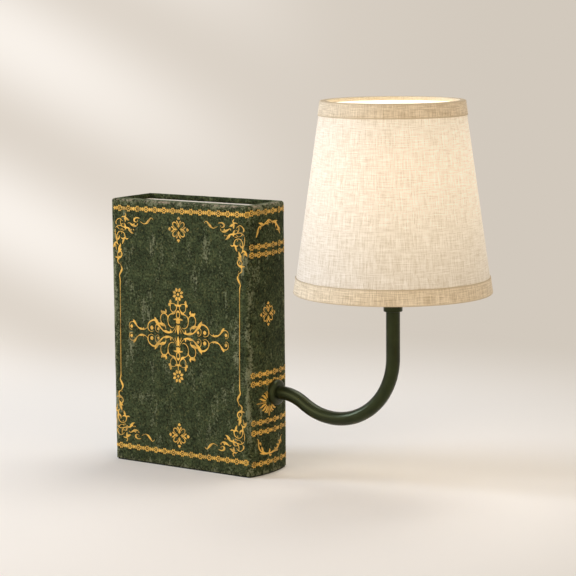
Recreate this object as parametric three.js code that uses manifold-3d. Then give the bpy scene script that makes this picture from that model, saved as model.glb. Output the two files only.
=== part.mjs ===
// Bookend lamp: a weighted box in the shape of an old book, a bent tube arm that leaves its
// spine, and a lampholder with a bulb and a tapered linen shade.
// Millimetres, +Z up. The front cover faces -Y and the spine faces +X.
// The origin is the middle of the book's underside, on the surface that the lamp stands on.
import * as THREE from "three";
import { mergeVertices } from "three/addons/utils/BufferGeometryUtils.js";
import Module from "manifold-3d";

// Fits shared by the whole lamp
const SEAT_GAP = 0.3; // between a piece and what it seats on or slides over
const OVERRUN = 5; // how far a cutting shape runs past what it cuts

// The box of the book
const BOOK_WIDTH = 160; // fore-edge to spine edge
const BOOK_DEPTH = 62; // front cover to back cover
const BOOK_HEIGHT = 254; // table to rim
const SPINE_BULGE = 3.5; // how far the rounded spine stands past its edges
const SPINE_CORNER = 5; // rounding of the two spine edges
const FORE_CORNER = 2.5; // rounding of the two fore-edge corners
const CLOTH_THICKNESS = 0.6;
const BOARD_THICKNESS = 3.5;
const RIM_DROP = 4.4; // page panel below the rim
const PAGE_PANEL_THICKNESS = 3;
const BASE_BOARD_THICKNESS = 6;
const FELT_THICKNESS = 1.5;
const FELT_INSET = 1.2;

// The glue blocks in the lower corners and the wood screws that hold the base board to them
const BLOCK_WIDTH = 11;
const BLOCK_HEIGHT = 30;
const WOOD_SCREW_RADIUS = 1.75;
const WOOD_SCREW_HEAD_RADIUS = 3.6;
const WOOD_SCREW_HEAD_HEIGHT = 2.2;
const WOOD_SCREW_LENGTH = 25;

// The cast weight
const BALLAST_LENGTH = 112;
const BALLAST_WIDTH = 40;
const BALLAST_HEIGHT = 40;
const BALLAST_CORNER = 4;
const BALLAST_SHIFT = 6; // towards the fore-edge, against the overhung shade
const BALLAST_SCREW_SPACING = 70;
const BALLAST_SCREW_RADIUS = 2.5;
const BALLAST_SCREW_HEAD_RADIUS = 4.6;
const BALLAST_SCREW_HEAD_HEIGHT = 2.6;
const BALLAST_SCREW_LENGTH = 24;

// The bushing in the fore-edge, where the supply cord comes in
const CORD_BORE_RADIUS = 4;
const BUSHING_WALL = 2;
const BUSHING_FLANGE_WIDTH = 3;
const BUSHING_FLANGE_THICKNESS = 2.2;
const BUSHING_REACH = 8; // past the inner face of the fore-edge board
const BUSHING_HEIGHT = 62; // its axis above the table
const BUSHING_NUT_FLATS = 17;
const BUSHING_NUT_THICKNESS = 4;

// The terminal block on the back board
const TERMINAL_LENGTH = 24;
const TERMINAL_HEIGHT = 16;
const TERMINAL_DEPTH = 11;
const TERMINAL_STANDOFF = 22; // from the block to the arm's nipple
const TERMINAL_BORE_RADIUS = 2.1;
const TERMINAL_POLE_SPACING = 8;
const CLAMP_SCREW_RADIUS = 1.6;
const CLAMP_SCREW_LENGTH = 2.6;
const CLAMP_SCREW_SPACING = 13;
const BLOCK_SCREW_RADIUS = 1.2;
const BLOCK_SCREW_HEAD_RADIUS = 2.2;
const BLOCK_SCREW_HEAD_HEIGHT = 1.4;
const BLOCK_SCREW_LENGTH = 13;

// The arm's line: out of the spine, down through one bend, and up through the other
const ARM_OFFSET = 5; // from the middle of the spine towards the back cover
const ARM_HEIGHT = 76.5; // where it leaves the spine, above the table
const ARM_LEAD = 11.3; // straight run before the first bend
const ARM_DOWN_RADIUS = 43;
const ARM_UP_RADIUS = 62.4;
const ARM_DIP = THREE.MathUtils.degToRad(34);
const ARM_TOP = 166.2; // upper end of the tube, above the table
const TUBE_RADIUS = 6.35;

// The hollow threaded nipples at both ends of the tube, with their washers and nuts
const NIPPLE_RADIUS = 5;
const NIPPLE_BORE_RADIUS = 3.5;
const NIPPLE_ENGAGEMENT = 5; // length inside the tube
const NIPPLE_PROUD = 0.6; // length that shows past its nut in the lampholder
const NIPPLE_TAIL = 4; // length that shows past its nut inside the book
const WASHER_RADIUS = 9;
const WASHER_THICKNESS = 1.5;
const LOCK_NUT_FLATS = 15;
const LOCK_NUT_THICKNESS = 3;
const PLATE_THICKNESS = 2;
const PLATE_WIDTH = 25;
const PLATE_HEIGHT = 50;

// The flange on the spine and the collar at the top of the tube
const FLANGE_RADIUS = 12;
const FLANGE_FACE = 9; // its outer face, past the spine's edges
const FLANGE_ROUNDING = 3;
const TUBE_SEAT = 5.5; // the tube's end, past the spine's edges
const COLLAR_RADIUS = 8.6;
const COLLAR_SKIRT = 2.9; // down over the tube's end
const COLLAR_FLOOR = 2.7;
const COLLAR_CHAMFER = 0.6;

// The lead inside the arm
const LEAD_RADIUS = 2.3;

// The lampholder
const CAP_RADIUS = 22;
const CAP_FOOT_RADIUS = 12;
const CAP_CONE_HEIGHT = 8;
const CAP_HEIGHT = 21;
const CAP_WALL = 1.8;
const INSULATOR_CLEARANCE = 0.6; // above the end of the nipple
const SHELL_RISE = 23.7; // above the cap
const SHELL_SPIGOT = 6; // down into the cap
const SHELL_THREAD_RADIUS = 19.7;
const SHELL_BORE_RADIUS = 16;
const SHELL_LIP_RADIUS = 14.6;
const SHELL_LIP_THICKNESS = 1.5;
const SCREW_SHELL_RADIUS = 14.1;
const SCREW_SHELL_WALL = 0.6;
const SCREW_SHELL_HOLE_RADIUS = 7;
const CONTACT_RADIUS = 3;
const CONTACT_THICKNESS = 1.5;
const SHADE_RING_RADIUS = 25.5;
const SHADE_RING_NECK_RADIUS = 22.6;
const SHADE_RING_FLANGE = 2;
const SHADE_RING_HEIGHT = 7;

// The turn switch on the lampholder's side
const STEM_RADIUS = 2.2;
const STEM_RISE = 4.3; // its axis above the insulator's underside
const ROTOR_RADIUS = 3.2;
const ROTOR_LENGTH = 5;
const KNOB_RADIUS = 5;
const KNOB_LENGTH = 13;
const KNOB_STANDOFF = 1; // from the cap
const KNOB_CLOSED_END = 3;
const KNOB_FLUTE_DEPTH = 0.5;

// The bulb
const BULB_LENGTH = 107;
const BULB_RADIUS = 30;
const BULB_NECK_RADIUS = 12.2;
const BULB_SWEEP = THREE.MathUtils.degToRad(118); // of the ball, from its top to the shoulder
const BULB_GLASS_WALL = 0.8;
const BULB_CAP_RADIUS = 13.2;
const BULB_CAP_WALL = 0.5;
const BULB_CAP_HEIGHT = 19;
const BULB_INSULATOR_HEIGHT = 3;
const BULB_INSULATOR_RADIUS = 11;
const BULB_TIP_RADIUS = 3.2;
const BULB_TIP_HEIGHT = 1.5;
const BULB_NECK_DEPTH = 16; // of the glass inside its cap
const BULB_NECK_RISE = 6; // straight neck above the cap
const BULB_STEM_RADIUS = 2.5;
const BULB_STEM_HEIGHT = 45;
const BULB_STEM_FLARE = 6;
const FILAMENT_RADIUS = 0.9;
const FILAMENT_LENGTH = 40;
const FILAMENT_RISE = 24; // their lower ends above the foot of the stem
const FILAMENT_LEAN = THREE.MathUtils.degToRad(9);

// The shade and its frame
const SHADE_BOTTOM_RADIUS = 89.5;
const SHADE_TOP_RADIUS = 64.8;
const SHADE_HEIGHT = 172;
const SHADE_WALL = 0.8;
const SHADE_DROP = 10.2; // rim below the fitter's hub
const TAPE_THICKNESS = 0.5;
const TOP_BAND_HEIGHT = 13;
const TOP_BAND_TURN_IN = 6;
const BOTTOM_BAND_HEIGHT = 14.5;
const WIRE_RADIUS = 1.5;
const SPOKE_RADIUS = 1.25;
const HUB_WIDTH = 7;
const HUB_THICKNESS = 1.2;

// How finely round shapes are cut
const MERGE_DISTANCE = 0.0001;
const CURVE_STEPS = 5; // for each rounded stretch of the book's outline
const SMALL_SIDES = 12;
const ROUND_SIDES = 24;
const TUBE_SIDES = 20;
const TUBE_STEPS = 32;
const LEAD_SIDES = 8;
const LEAD_STEPS = 48;
const SHADE_SIDES = 60;
const WIRE_SIDES = 6;
const BULB_STEPS = 6;
const KNOB_FLUTES = 10;
const FILAMENT_COUNT = 4;
const SPOKE_COUNT = 3;

// Places that follow from the sizes above
const SPINE_X = BOOK_WIDTH / 2;
const WALL = CLOTH_THICKNESS + SEAT_GAP + BOARD_THICKNESS;
const INNER_X = BOOK_WIDTH / 2 - WALL;
const INNER_Y = BOOK_DEPTH / 2 - WALL;
const BOARD_TOP = BOOK_HEIGHT - CLOTH_THICKNESS - SEAT_GAP;
const PAGE_Z = BOOK_HEIGHT - RIM_DROP;
const BASE_TOP = FELT_THICKNESS + BASE_BOARD_THICKNESS;
const NIPPLE_HOLE_RADIUS = NIPPLE_RADIUS + SEAT_GAP;
const TUBE_HOLE_RADIUS = TUBE_RADIUS + SEAT_GAP;
const BUSHING_RADIUS = CORD_BORE_RADIUS + BUSHING_WALL;
const PLATE_X = INNER_X - SEAT_GAP - PLATE_THICKNESS;
const WASHER_X = PLATE_X - SEAT_GAP - WASHER_THICKNESS;
const LOCK_NUT_X = WASHER_X - SEAT_GAP - LOCK_NUT_THICKNESS;
const NIPPLE_START_X = LOCK_NUT_X - NIPPLE_TAIL;
const TERMINAL_X = NIPPLE_START_X - TERMINAL_STANDOFF;
const TERMINAL_Y = INNER_Y - SEAT_GAP - TERMINAL_DEPTH / 2;
const LAMP_X = SPINE_X + ARM_LEAD + (ARM_DOWN_RADIUS + ARM_UP_RADIUS) * Math.sin(ARM_DIP) + ARM_UP_RADIUS;
const BEND_END_Z = ARM_HEIGHT - ARM_DOWN_RADIUS * (1 - Math.cos(ARM_DIP)) + ARM_UP_RADIUS * Math.cos(ARM_DIP);
const BENDS_LENGTH = ARM_DOWN_RADIUS * ARM_DIP + ARM_UP_RADIUS * (ARM_DIP + Math.PI / 2);

// Heights on the lamp's axis, above the end of the tube
const COLLAR_TOP = SEAT_GAP + COLLAR_FLOOR;
const CAP_BASE = COLLAR_TOP + SEAT_GAP;
const CAP_TOP = CAP_BASE + CAP_HEIGHT;
const TOP_WASHER_Z = CAP_BASE + CAP_WALL + SEAT_GAP;
const TOP_NUT_Z = TOP_WASHER_Z + WASHER_THICKNESS + SEAT_GAP;
const TOP_NIPPLE_END = TOP_NUT_Z + LOCK_NUT_THICKNESS + NIPPLE_PROUD;
const INSULATOR_BASE = TOP_NIPPLE_END + INSULATOR_CLEARANCE;
const INSULATOR_TOP = CAP_TOP - SEAT_GAP;
const STEM_Z = INSULATOR_BASE + STEM_RISE;
const SHELL_TOP = CAP_TOP + SHELL_RISE;
const CONTACT_BASE = INSULATOR_TOP + SEAT_GAP;
const HUB_BASE = CAP_TOP + SEAT_GAP;
const SHADE_RING_BASE = HUB_BASE + HUB_THICKNESS + SEAT_GAP;
const BULB_BASE = CONTACT_BASE + CONTACT_THICKNESS + SEAT_GAP;
const BULB_INSULATOR_BASE = BULB_BASE + BULB_TIP_HEIGHT + SEAT_GAP;
const BULB_CAP_BASE = BULB_INSULATOR_BASE + BULB_INSULATOR_HEIGHT + SEAT_GAP;
const BULB_CAP_TOP = BULB_CAP_BASE + BULB_CAP_HEIGHT;
const BULB_FOOT = BULB_CAP_TOP - BULB_NECK_DEPTH;
const BULB_TOP = BULB_BASE + BULB_LENGTH;
const SHADE_BASE = HUB_BASE - SHADE_DROP;
const SHADE_END = SHADE_BASE + SHADE_HEIGHT;
const EDGE_COVER = TAPE_THICKNESS + SEAT_GAP; // what the folded tape adds past the linen's edge
const BOTTOM_WIRE_Z = SHADE_BASE + EDGE_COVER + WIRE_RADIUS;
const TOP_WIRE_Z = SHADE_END - EDGE_COVER - WIRE_RADIUS;

const wasm = await Module();
wasm.setup();

// Finishes, one for each kind of surface
const FINISHES = {
  printedVelvet: { color: 0x39442b, roughness: 0.95, metalness: 0 },
  creamPaper: { color: 0xf1e8d8, roughness: 0.9, metalness: 0 },
  fibreboard: { color: 0xa88660, roughness: 0.85, metalness: 0 },
  feltGreen: { color: 0x23291f, roughness: 1, metalness: 0 },
  castIron: { color: 0x4a4a4c, roughness: 0.7, metalness: 0.8 },
  zincSteel: { color: 0xb9bcc0, roughness: 0.4, metalness: 1 },
  darkPaint: { color: 0x22261c, roughness: 0.45, metalness: 0.2 },
  blackPhenolic: { color: 0x17140f, roughness: 0.35, metalness: 0 },
  whitePlastic: { color: 0xe6e4dc, roughness: 0.5, metalness: 0 },
  brass: { color: 0xc9a24c, roughness: 0.3, metalness: 1 },
  leadSheath: { color: 0xd8d5cc, roughness: 0.6, metalness: 0 },
  clearGlass: { color: 0xf4f2ea, roughness: 0.05, metalness: 0 },
  filamentYellow: { color: 0xf3c04b, roughness: 0.4, metalness: 0 },
  linen: { color: 0xf2e6cf, roughness: 0.9, metalness: 0 },
  linenTape: { color: 0xd9c6a2, roughness: 0.9, metalness: 0 },
  whiteWire: { color: 0xe9e7e2, roughness: 0.4, metalness: 0.3 },
};

// Merges a geometry's shared points, drops triangles without area and turns its faces outwards
function closed(geometry) {
  geometry.deleteAttribute("normal");
  geometry.deleteAttribute("uv");
  const merged = mergeVertices(geometry, MERGE_DISTANCE);
  const place = merged.getAttribute("position");
  const corner = (index) => new THREE.Vector3().fromBufferAttribute(place, index);
  const faces = [];
  let volume = 0;
  for (let i = 0; i < merged.index.count; i += 3) {
    const [a, b, c] = [0, 1, 2].map((step) => merged.index.getX(i + step));
    if (a !== b && b !== c && c !== a) {
      faces.push([a, b, c]);
      volume += corner(a).dot(corner(b).cross(corner(c)));
    }
  }
  merged.setIndex(faces.map((face) => (volume < 0 ? face.reverse() : face)).flat());
  return merged;
}

// A closed geometry as a solid that can be joined and cut
function solid(geometry) {
  const vertProperties = Float32Array.from(geometry.getAttribute("position").array);
  const triVerts = Uint32Array.from(geometry.index.array);
  return new wasm.Manifold(new wasm.Mesh({ numProp: 3, vertProperties, triVerts }));
}

// A solid as a geometry again
function shown(body) {
  const mesh = body.getMesh();
  const geometry = new THREE.BufferGeometry();
  geometry.setAttribute("position", new THREE.BufferAttribute(mesh.vertProperties, 3));
  geometry.setIndex(Array.from(mesh.triVerts));
  return geometry;
}

// A block between its lowest and highest corners
function block(low, high) {
  const size = high.map((value, axis) => value - low[axis]);
  const geometry = new THREE.BoxGeometry(...size);
  geometry.translate(...low.map((value, axis) => value + size[axis] / 2));
  return closed(geometry);
}

// A flat outline, pulled up from one height to another
function prism(outline, low, high, steps = CURVE_STEPS) {
  const geometry = new THREE.ExtrudeGeometry(outline, {
    depth: high - low,
    bevelEnabled: false,
    curveSegments: steps,
  });
  geometry.translate(0, 0, low);
  return closed(geometry);
}

// A profile of [radius, height] points, turned about Z
function turned(profile, sides = ROUND_SIDES) {
  const points = profile.map(([radius, height]) => new THREE.Vector2(radius, height));
  const geometry = new THREE.LatheGeometry(points, sides);
  geometry.rotateX(Math.PI / 2);
  return closed(geometry);
}

// The same for a profile that closes on itself, such as the section of a ring
function turnedRing(profile, sides = ROUND_SIDES) {
  return turned([...profile, profile[0]], sides);
}

// A plain ring or sleeve about Z
function sleeve(innerRadius, outerRadius, low, high, sides = ROUND_SIDES) {
  return turnedRing(
    [
      [innerRadius, low],
      [outerRadius, low],
      [outerRadius, high],
      [innerRadius, high],
    ],
    sides,
  );
}

// A plain round bar about Z
function bar(radius, low, high, sides = ROUND_SIDES) {
  return turned(
    [
      [0, low],
      [radius, low],
      [radius, high],
      [0, high],
    ],
    sides,
  );
}

// Lays a geometry made about Z along +X, through a point
function alongX(geometry, y, z) {
  geometry.rotateY(Math.PI / 2);
  geometry.translate(0, y, z);
  return geometry;
}

// Lays a geometry made about Z along -Y, through a point
function alongMinusY(geometry, x, z) {
  geometry.rotateX(Math.PI / 2);
  geometry.translate(x, 0, z);
  return geometry;
}

// A six-sided nut about Z
function hexNut(flats, boreRadius, low, high) {
  const cornerRadius = flats / 2 / Math.cos(Math.PI / 6);
  const outline = new THREE.Shape();
  for (let side = 0; side < 6; side += 1) {
    const angle = (side * Math.PI) / 3;
    outline[side ? "lineTo" : "moveTo"](cornerRadius * Math.cos(angle), cornerRadius * Math.sin(angle));
  }
  const bore = new THREE.Path();
  bore.absarc(0, 0, boreRadius, 0, 2 * Math.PI);
  outline.holes.push(bore);
  return prism(outline, low, high, ROUND_SIDES / 2);
}

// A countersunk screw about Z, head down at height zero. A hole for it is the same, grown by a gap
// and with its head run on downwards.
function countersunk(headRadius, headHeight, shankRadius, length, grow = 0, run = 0) {
  return turned(
    [
      [0, -run],
      [headRadius + grow, -run],
      [headRadius + grow, 0],
      [shankRadius + grow, headHeight],
      [shankRadius + grow, length - shankRadius],
      [0, length + grow],
    ],
    SMALL_SIDES,
  );
}

// Joins separate geometries into one node's geometry
function together(parts) {
  return shown(parts.map(solid).reduce((sum, part) => sum.add(part)));
}

// Cuts tools out of a geometry
function cut(geometry, tools) {
  return shown(tools.reduce((left, tool) => left.subtract(solid(tool)), solid(geometry)));
}

// A named sub-part with its finish
function piece(name, geometry, finish) {
  const mesh = new THREE.Mesh(geometry, new THREE.MeshStandardMaterial(FINISHES[finish]));
  mesh.name = name;
  return mesh;
}

// The book's outline seen from above, moved in by an inset: flat covers and fore-edge, and a spine
// that is one shallow curve from corner to corner
function bookOutline(inset) {
  const left = -BOOK_WIDTH / 2 + inset;
  const right = BOOK_WIDTH / 2 - inset;
  const side = BOOK_DEPTH / 2 - inset;
  const fore = FORE_CORNER - inset;
  const spine = SPINE_CORNER - inset;
  const crown = right + 2 * SPINE_BULGE;
  const turn = right - (2 * SPINE_BULGE * spine) / (side - spine);
  const outline = new THREE.Shape();
  outline.moveTo(left + fore, -side);
  outline.lineTo(right - spine, -side);
  outline.quadraticCurveTo(turn, -side, right, -side + spine);
  outline.quadraticCurveTo(crown, 0, right, side - spine);
  outline.quadraticCurveTo(turn, side, right - spine, side);
  outline.lineTo(left + fore, side);
  outline.quadraticCurveTo(left, side, left, side - fore);
  outline.lineTo(left, -side + fore);
  outline.quadraticCurveTo(left, -side, left + fore, -side);
  return outline;
}

// A block that fills the box between its walls, with an inset all round
function innerBlock(inset, low, high) {
  return block([-INNER_X + inset, -INNER_Y + inset, low], [INNER_X - inset, INNER_Y - inset, high]);
}

// The hole that the arm's nipple takes through the spine, and the one for the bushing
const nippleHole = () =>
  alongX(bar(NIPPLE_HOLE_RADIUS, INNER_X - OVERRUN, SPINE_X + SPINE_BULGE + OVERRUN), ARM_OFFSET, ARM_HEIGHT);
const bushingHole = () =>
  alongX(bar(BUSHING_RADIUS + SEAT_GAP, -SPINE_X - OVERRUN, -INNER_X + OVERRUN), 0, BUSHING_HEIGHT);

// Printed velvet: down the outside of the four walls, over the rim and in as far as the page panel
function coverCloth() {
  const outside = solid(prism(bookOutline(0), FELT_THICKNESS, BOOK_HEIGHT));
  const walls = prism(bookOutline(CLOTH_THICKNESS), FELT_THICKNESS - OVERRUN, BOOK_HEIGHT - CLOTH_THICKNESS);
  const turnIn = innerBlock(SEAT_GAP, PAGE_Z + SEAT_GAP, BOOK_HEIGHT - CLOTH_THICKNESS / 2);
  const hollow = innerBlock(SEAT_GAP + CLOTH_THICKNESS, FELT_THICKNESS - OVERRUN, BOOK_HEIGHT + OVERRUN);
  return shown(
    outside
      .subtract(solid(walls))
      .add(solid(turnIn))
      .subtract(solid(hollow))
      .subtract(solid(nippleHole()))
      .subtract(solid(bushingHole())),
  );
}

// One wall of the box: what a region takes of the boards' outline
function wallBoard(low, high, holes = []) {
  const boards = solid(prism(bookOutline(CLOTH_THICKNESS + SEAT_GAP), FELT_THICKNESS, BOARD_TOP));
  const region = block([...low, FELT_THICKNESS - OVERRUN], [...high, BOOK_HEIGHT + OVERRUN]);
  return cut(shown(boards.intersect(solid(region))), holes);
}

const FAR_X = BOOK_WIDTH; // safely past the walls
const FAR_Y = BOOK_DEPTH;
const SIDE_Y = INNER_Y - SEAT_GAP;

// Wood screws stand in the middle of each glue block
const SCREW_X = INNER_X - SEAT_GAP - BLOCK_WIDTH / 2;
const SCREW_Y = INNER_Y - SEAT_GAP - BLOCK_WIDTH / 2;
const CORNERS = [
  [-SCREW_X, -SCREW_Y],
  [SCREW_X, -SCREW_Y],
  [SCREW_X, SCREW_Y],
  [-SCREW_X, SCREW_Y],
];

function woodScrew([x, y], grow = 0, run = 0) {
  return countersunk(
    WOOD_SCREW_HEAD_RADIUS,
    WOOD_SCREW_HEAD_HEIGHT,
    WOOD_SCREW_RADIUS,
    WOOD_SCREW_LENGTH,
    grow,
    run,
  ).translate(x, y, FELT_THICKNESS + SEAT_GAP);
}

// The two machine screws that hold the weight
const ENDS = [-1, 1];

function ballastScrew(end, grow = 0, run = 0) {
  return countersunk(
    BALLAST_SCREW_HEAD_RADIUS,
    BALLAST_SCREW_HEAD_HEIGHT,
    BALLAST_SCREW_RADIUS,
    BALLAST_SCREW_LENGTH,
    grow,
    run,
  ).translate(-BALLAST_SHIFT + (end * BALLAST_SCREW_SPACING) / 2, 0, FELT_THICKNESS + SEAT_GAP);
}

const woodScrewHoles = () => CORNERS.map((corner) => woodScrew(corner, SEAT_GAP, OVERRUN));
const ballastScrewHoles = () => ENDS.map((end) => ballastScrew(end, SEAT_GAP, OVERRUN));

function baseBoard() {
  const board = innerBlock(SEAT_GAP, FELT_THICKNESS, BASE_TOP);
  return cut(board, [...woodScrewHoles(), ...ballastScrewHoles()]);
}

function glueBlock([x, y]) {
  const half = BLOCK_WIDTH / 2;
  const post = block([x - half, y - half, BASE_TOP], [x + half, y + half, BASE_TOP + BLOCK_HEIGHT]);
  return cut(post, [woodScrew([x, y], SEAT_GAP, OVERRUN)]);
}

function ballastWeight() {
  const x = BALLAST_LENGTH / 2;
  const y = BALLAST_WIDTH / 2;
  const outline = new THREE.Shape();
  outline.moveTo(-x + BALLAST_CORNER, -y);
  outline.lineTo(x - BALLAST_CORNER, -y);
  outline.quadraticCurveTo(x, -y, x, -y + BALLAST_CORNER);
  outline.lineTo(x, y - BALLAST_CORNER);
  outline.quadraticCurveTo(x, y, x - BALLAST_CORNER, y);
  outline.lineTo(-x + BALLAST_CORNER, y);
  outline.quadraticCurveTo(-x, y, -x, y - BALLAST_CORNER);
  outline.lineTo(-x, -y + BALLAST_CORNER);
  outline.quadraticCurveTo(-x, -y, -x + BALLAST_CORNER, -y);
  const casting = prism(outline, BASE_TOP, BASE_TOP + BALLAST_HEIGHT);
  return cut(casting.translate(-BALLAST_SHIFT, 0, 0), ballastScrewHoles());
}

// The bushing: a flange outside the cloth and a threaded body that a nut holds from inside
function cordBushing() {
  const profile = [
    [CORD_BORE_RADIUS, -SPINE_X - BUSHING_FLANGE_THICKNESS],
    [BUSHING_RADIUS + BUSHING_FLANGE_WIDTH, -SPINE_X - BUSHING_FLANGE_THICKNESS],
    [BUSHING_RADIUS + BUSHING_FLANGE_WIDTH, -SPINE_X - SEAT_GAP],
    [BUSHING_RADIUS, -SPINE_X - SEAT_GAP],
    [BUSHING_RADIUS, -INNER_X + BUSHING_REACH],
    [CORD_BORE_RADIUS, -INNER_X + BUSHING_REACH],
  ];
  return alongX(turnedRing(profile), 0, BUSHING_HEIGHT);
}

function bushingNut() {
  const low = -INNER_X + SEAT_GAP;
  const nut = hexNut(BUSHING_NUT_FLATS, BUSHING_RADIUS + SEAT_GAP, low, low + BUSHING_NUT_THICKNESS);
  return alongX(nut, 0, BUSHING_HEIGHT);
}

// The terminal block: two poles side by side, each with a bore for its wires and two clamp screws
const CLAMPS = ENDS.flatMap((pole) => ENDS.map((end) => [pole, end]));
const TERMINAL_MIDDLE_X = TERMINAL_X - TERMINAL_LENGTH / 2;
const TERMINAL_FRONT_Y = TERMINAL_Y - TERMINAL_DEPTH / 2;

function clampScrew([pole, end], grow = 0, run = 0) {
  const screw = bar(CLAMP_SCREW_RADIUS + grow, -run, CLAMP_SCREW_LENGTH + grow, SMALL_SIDES);
  screw.rotateX(-Math.PI / 2);
  const x = TERMINAL_MIDDLE_X + (end * CLAMP_SCREW_SPACING) / 2;
  const z = ARM_HEIGHT + (pole * TERMINAL_POLE_SPACING) / 2;
  return screw.translate(x, TERMINAL_FRONT_Y + SEAT_GAP, z);
}

function blockScrew(grow = 0, run = 0) {
  const screw = countersunk(
    BLOCK_SCREW_HEAD_RADIUS,
    BLOCK_SCREW_HEAD_HEIGHT,
    BLOCK_SCREW_RADIUS,
    BLOCK_SCREW_LENGTH,
    grow,
    run,
  );
  screw.rotateX(-Math.PI / 2);
  return screw.translate(TERMINAL_MIDDLE_X, TERMINAL_FRONT_Y + SEAT_GAP, ARM_HEIGHT);
}

function terminalBlock() {
  const body = block(
    [TERMINAL_X - TERMINAL_LENGTH, TERMINAL_FRONT_Y, ARM_HEIGHT - TERMINAL_HEIGHT / 2],
    [TERMINAL_X, TERMINAL_Y + TERMINAL_DEPTH / 2, ARM_HEIGHT + TERMINAL_HEIGHT / 2],
  );
  const bores = ENDS.map((pole) =>
    alongX(
      bar(TERMINAL_BORE_RADIUS, TERMINAL_X - TERMINAL_LENGTH - OVERRUN, TERMINAL_X + OVERRUN, SMALL_SIDES),
      TERMINAL_Y,
      ARM_HEIGHT + (pole * TERMINAL_POLE_SPACING) / 2,
    ),
  );
  const clamps = CLAMPS.map((clamp) => clampScrew(clamp, SEAT_GAP, OVERRUN));
  return cut(body, [...bores, ...clamps, blockScrew(SEAT_GAP, OVERRUN)]);
}

// A point on the arm's line, at a distance along it from the plane of the spine's edges
function armPoint(distance) {
  const bend = distance - ARM_LEAD;
  const firstArc = ARM_DOWN_RADIUS * ARM_DIP;
  if (bend <= 0) {
    return new THREE.Vector3(SPINE_X + distance, ARM_OFFSET, ARM_HEIGHT);
  }
  if (bend <= firstArc) {
    const angle = bend / ARM_DOWN_RADIUS;
    const x = SPINE_X + ARM_LEAD + ARM_DOWN_RADIUS * Math.sin(angle);
    return new THREE.Vector3(x, ARM_OFFSET, ARM_HEIGHT - ARM_DOWN_RADIUS * (1 - Math.cos(angle)));
  }
  if (bend <= BENDS_LENGTH) {
    const angle = (bend - firstArc) / ARM_UP_RADIUS - ARM_DIP;
    const x = LAMP_X - ARM_UP_RADIUS * (1 - Math.sin(angle));
    return new THREE.Vector3(x, ARM_OFFSET, BEND_END_Z - ARM_UP_RADIUS * Math.cos(angle));
  }
  return new THREE.Vector3(LAMP_X, ARM_OFFSET, BEND_END_Z + bend - BENDS_LENGTH);
}

const ARM_LENGTH = ARM_LEAD + BENDS_LENGTH + ARM_TOP - BEND_END_Z;

// A stretch of the arm's line
class ArmLine extends THREE.Curve {
  constructor(from, to) {
    super();
    this.from = from;
    this.to = to;
  }

  getPoint(share) {
    return armPoint(this.from + (this.to - this.from) * share);
  }
}

// A round section carried along a line
function swept(line, radius, boreRadius, sides, steps) {
  const section = new THREE.Shape();
  section.absarc(0, 0, radius, 0, 2 * Math.PI);
  if (boreRadius > 0) {
    const bore = new THREE.Path();
    bore.absarc(0, 0, boreRadius, 0, 2 * Math.PI);
    section.holes.push(bore);
  }
  const geometry = new THREE.ExtrudeGeometry(section, { steps, extrudePath: line, curveSegments: sides / 2 });
  return closed(geometry);
}

function armTube() {
  return swept(new ArmLine(TUBE_SEAT, ARM_LENGTH), TUBE_RADIUS, NIPPLE_HOLE_RADIUS, TUBE_SIDES, TUBE_STEPS);
}

// The lead: from the terminal block across to the nipple, then up the arm to the lampholder
function innerLead() {
  const start = new THREE.Vector3(TERMINAL_X + SEAT_GAP, TERMINAL_Y, ARM_HEIGHT);
  const end = new THREE.Vector3(NIPPLE_START_X, ARM_OFFSET, ARM_HEIGHT);
  const pull = new THREE.Vector3((end.x - start.x) / 2, 0, 0);
  const route = new THREE.CurvePath();
  route.add(new THREE.CubicBezierCurve3(start, start.clone().add(pull), end.clone().sub(pull), end));
  route.add(new ArmLine(NIPPLE_START_X - SPINE_X, ARM_LENGTH + INSULATOR_BASE - SEAT_GAP));
  return swept(route, LEAD_RADIUS, 0, LEAD_SIDES, LEAD_STEPS);
}

function backingPlate() {
  const plate = block(
    [PLATE_X, ARM_OFFSET - PLATE_WIDTH / 2, ARM_HEIGHT - PLATE_HEIGHT / 2],
    [PLATE_X + PLATE_THICKNESS, ARM_OFFSET + PLATE_WIDTH / 2, ARM_HEIGHT + PLATE_HEIGHT / 2],
  );
  return cut(plate, [nippleHole()]);
}

// The flange: a thick disc whose back follows the spine, with a seat for the tube's end
function armFlange() {
  const low = SPINE_X - SPINE_BULGE;
  const face = SPINE_X + FLANGE_FACE;
  const edge = [0, 1, 2, 3].map((step) => {
    const angle = (step / 3) * (Math.PI / 2);
    return [
      FLANGE_RADIUS - FLANGE_ROUNDING * (1 - Math.cos(angle)),
      face - FLANGE_ROUNDING * (1 - Math.sin(angle)),
    ];
  });
  const profile = [
    [NIPPLE_HOLE_RADIUS, low],
    [FLANGE_RADIUS, low],
    ...edge,
    [TUBE_HOLE_RADIUS, face],
    [TUBE_HOLE_RADIUS, SPINE_X + TUBE_SEAT - SEAT_GAP],
    [NIPPLE_HOLE_RADIUS, SPINE_X + TUBE_SEAT - SEAT_GAP],
  ];
  const disc = alongX(turnedRing(profile), ARM_OFFSET, ARM_HEIGHT);
  return cut(disc, [prism(bookOutline(-SEAT_GAP), FELT_THICKNESS, BOOK_HEIGHT)]);
}

function armNipple() {
  const end = SPINE_X + TUBE_SEAT + NIPPLE_ENGAGEMENT;
  return alongX(sleeve(NIPPLE_BORE_RADIUS, NIPPLE_RADIUS, NIPPLE_START_X, end), ARM_OFFSET, ARM_HEIGHT);
}

// A washer and a nut about Z, from a height up, for either nipple
const washer = (low) => sleeve(NIPPLE_HOLE_RADIUS, WASHER_RADIUS, low, low + WASHER_THICKNESS);
const lockNut = (low) => hexNut(LOCK_NUT_FLATS, NIPPLE_HOLE_RADIUS, low, low + LOCK_NUT_THICKNESS);

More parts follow.
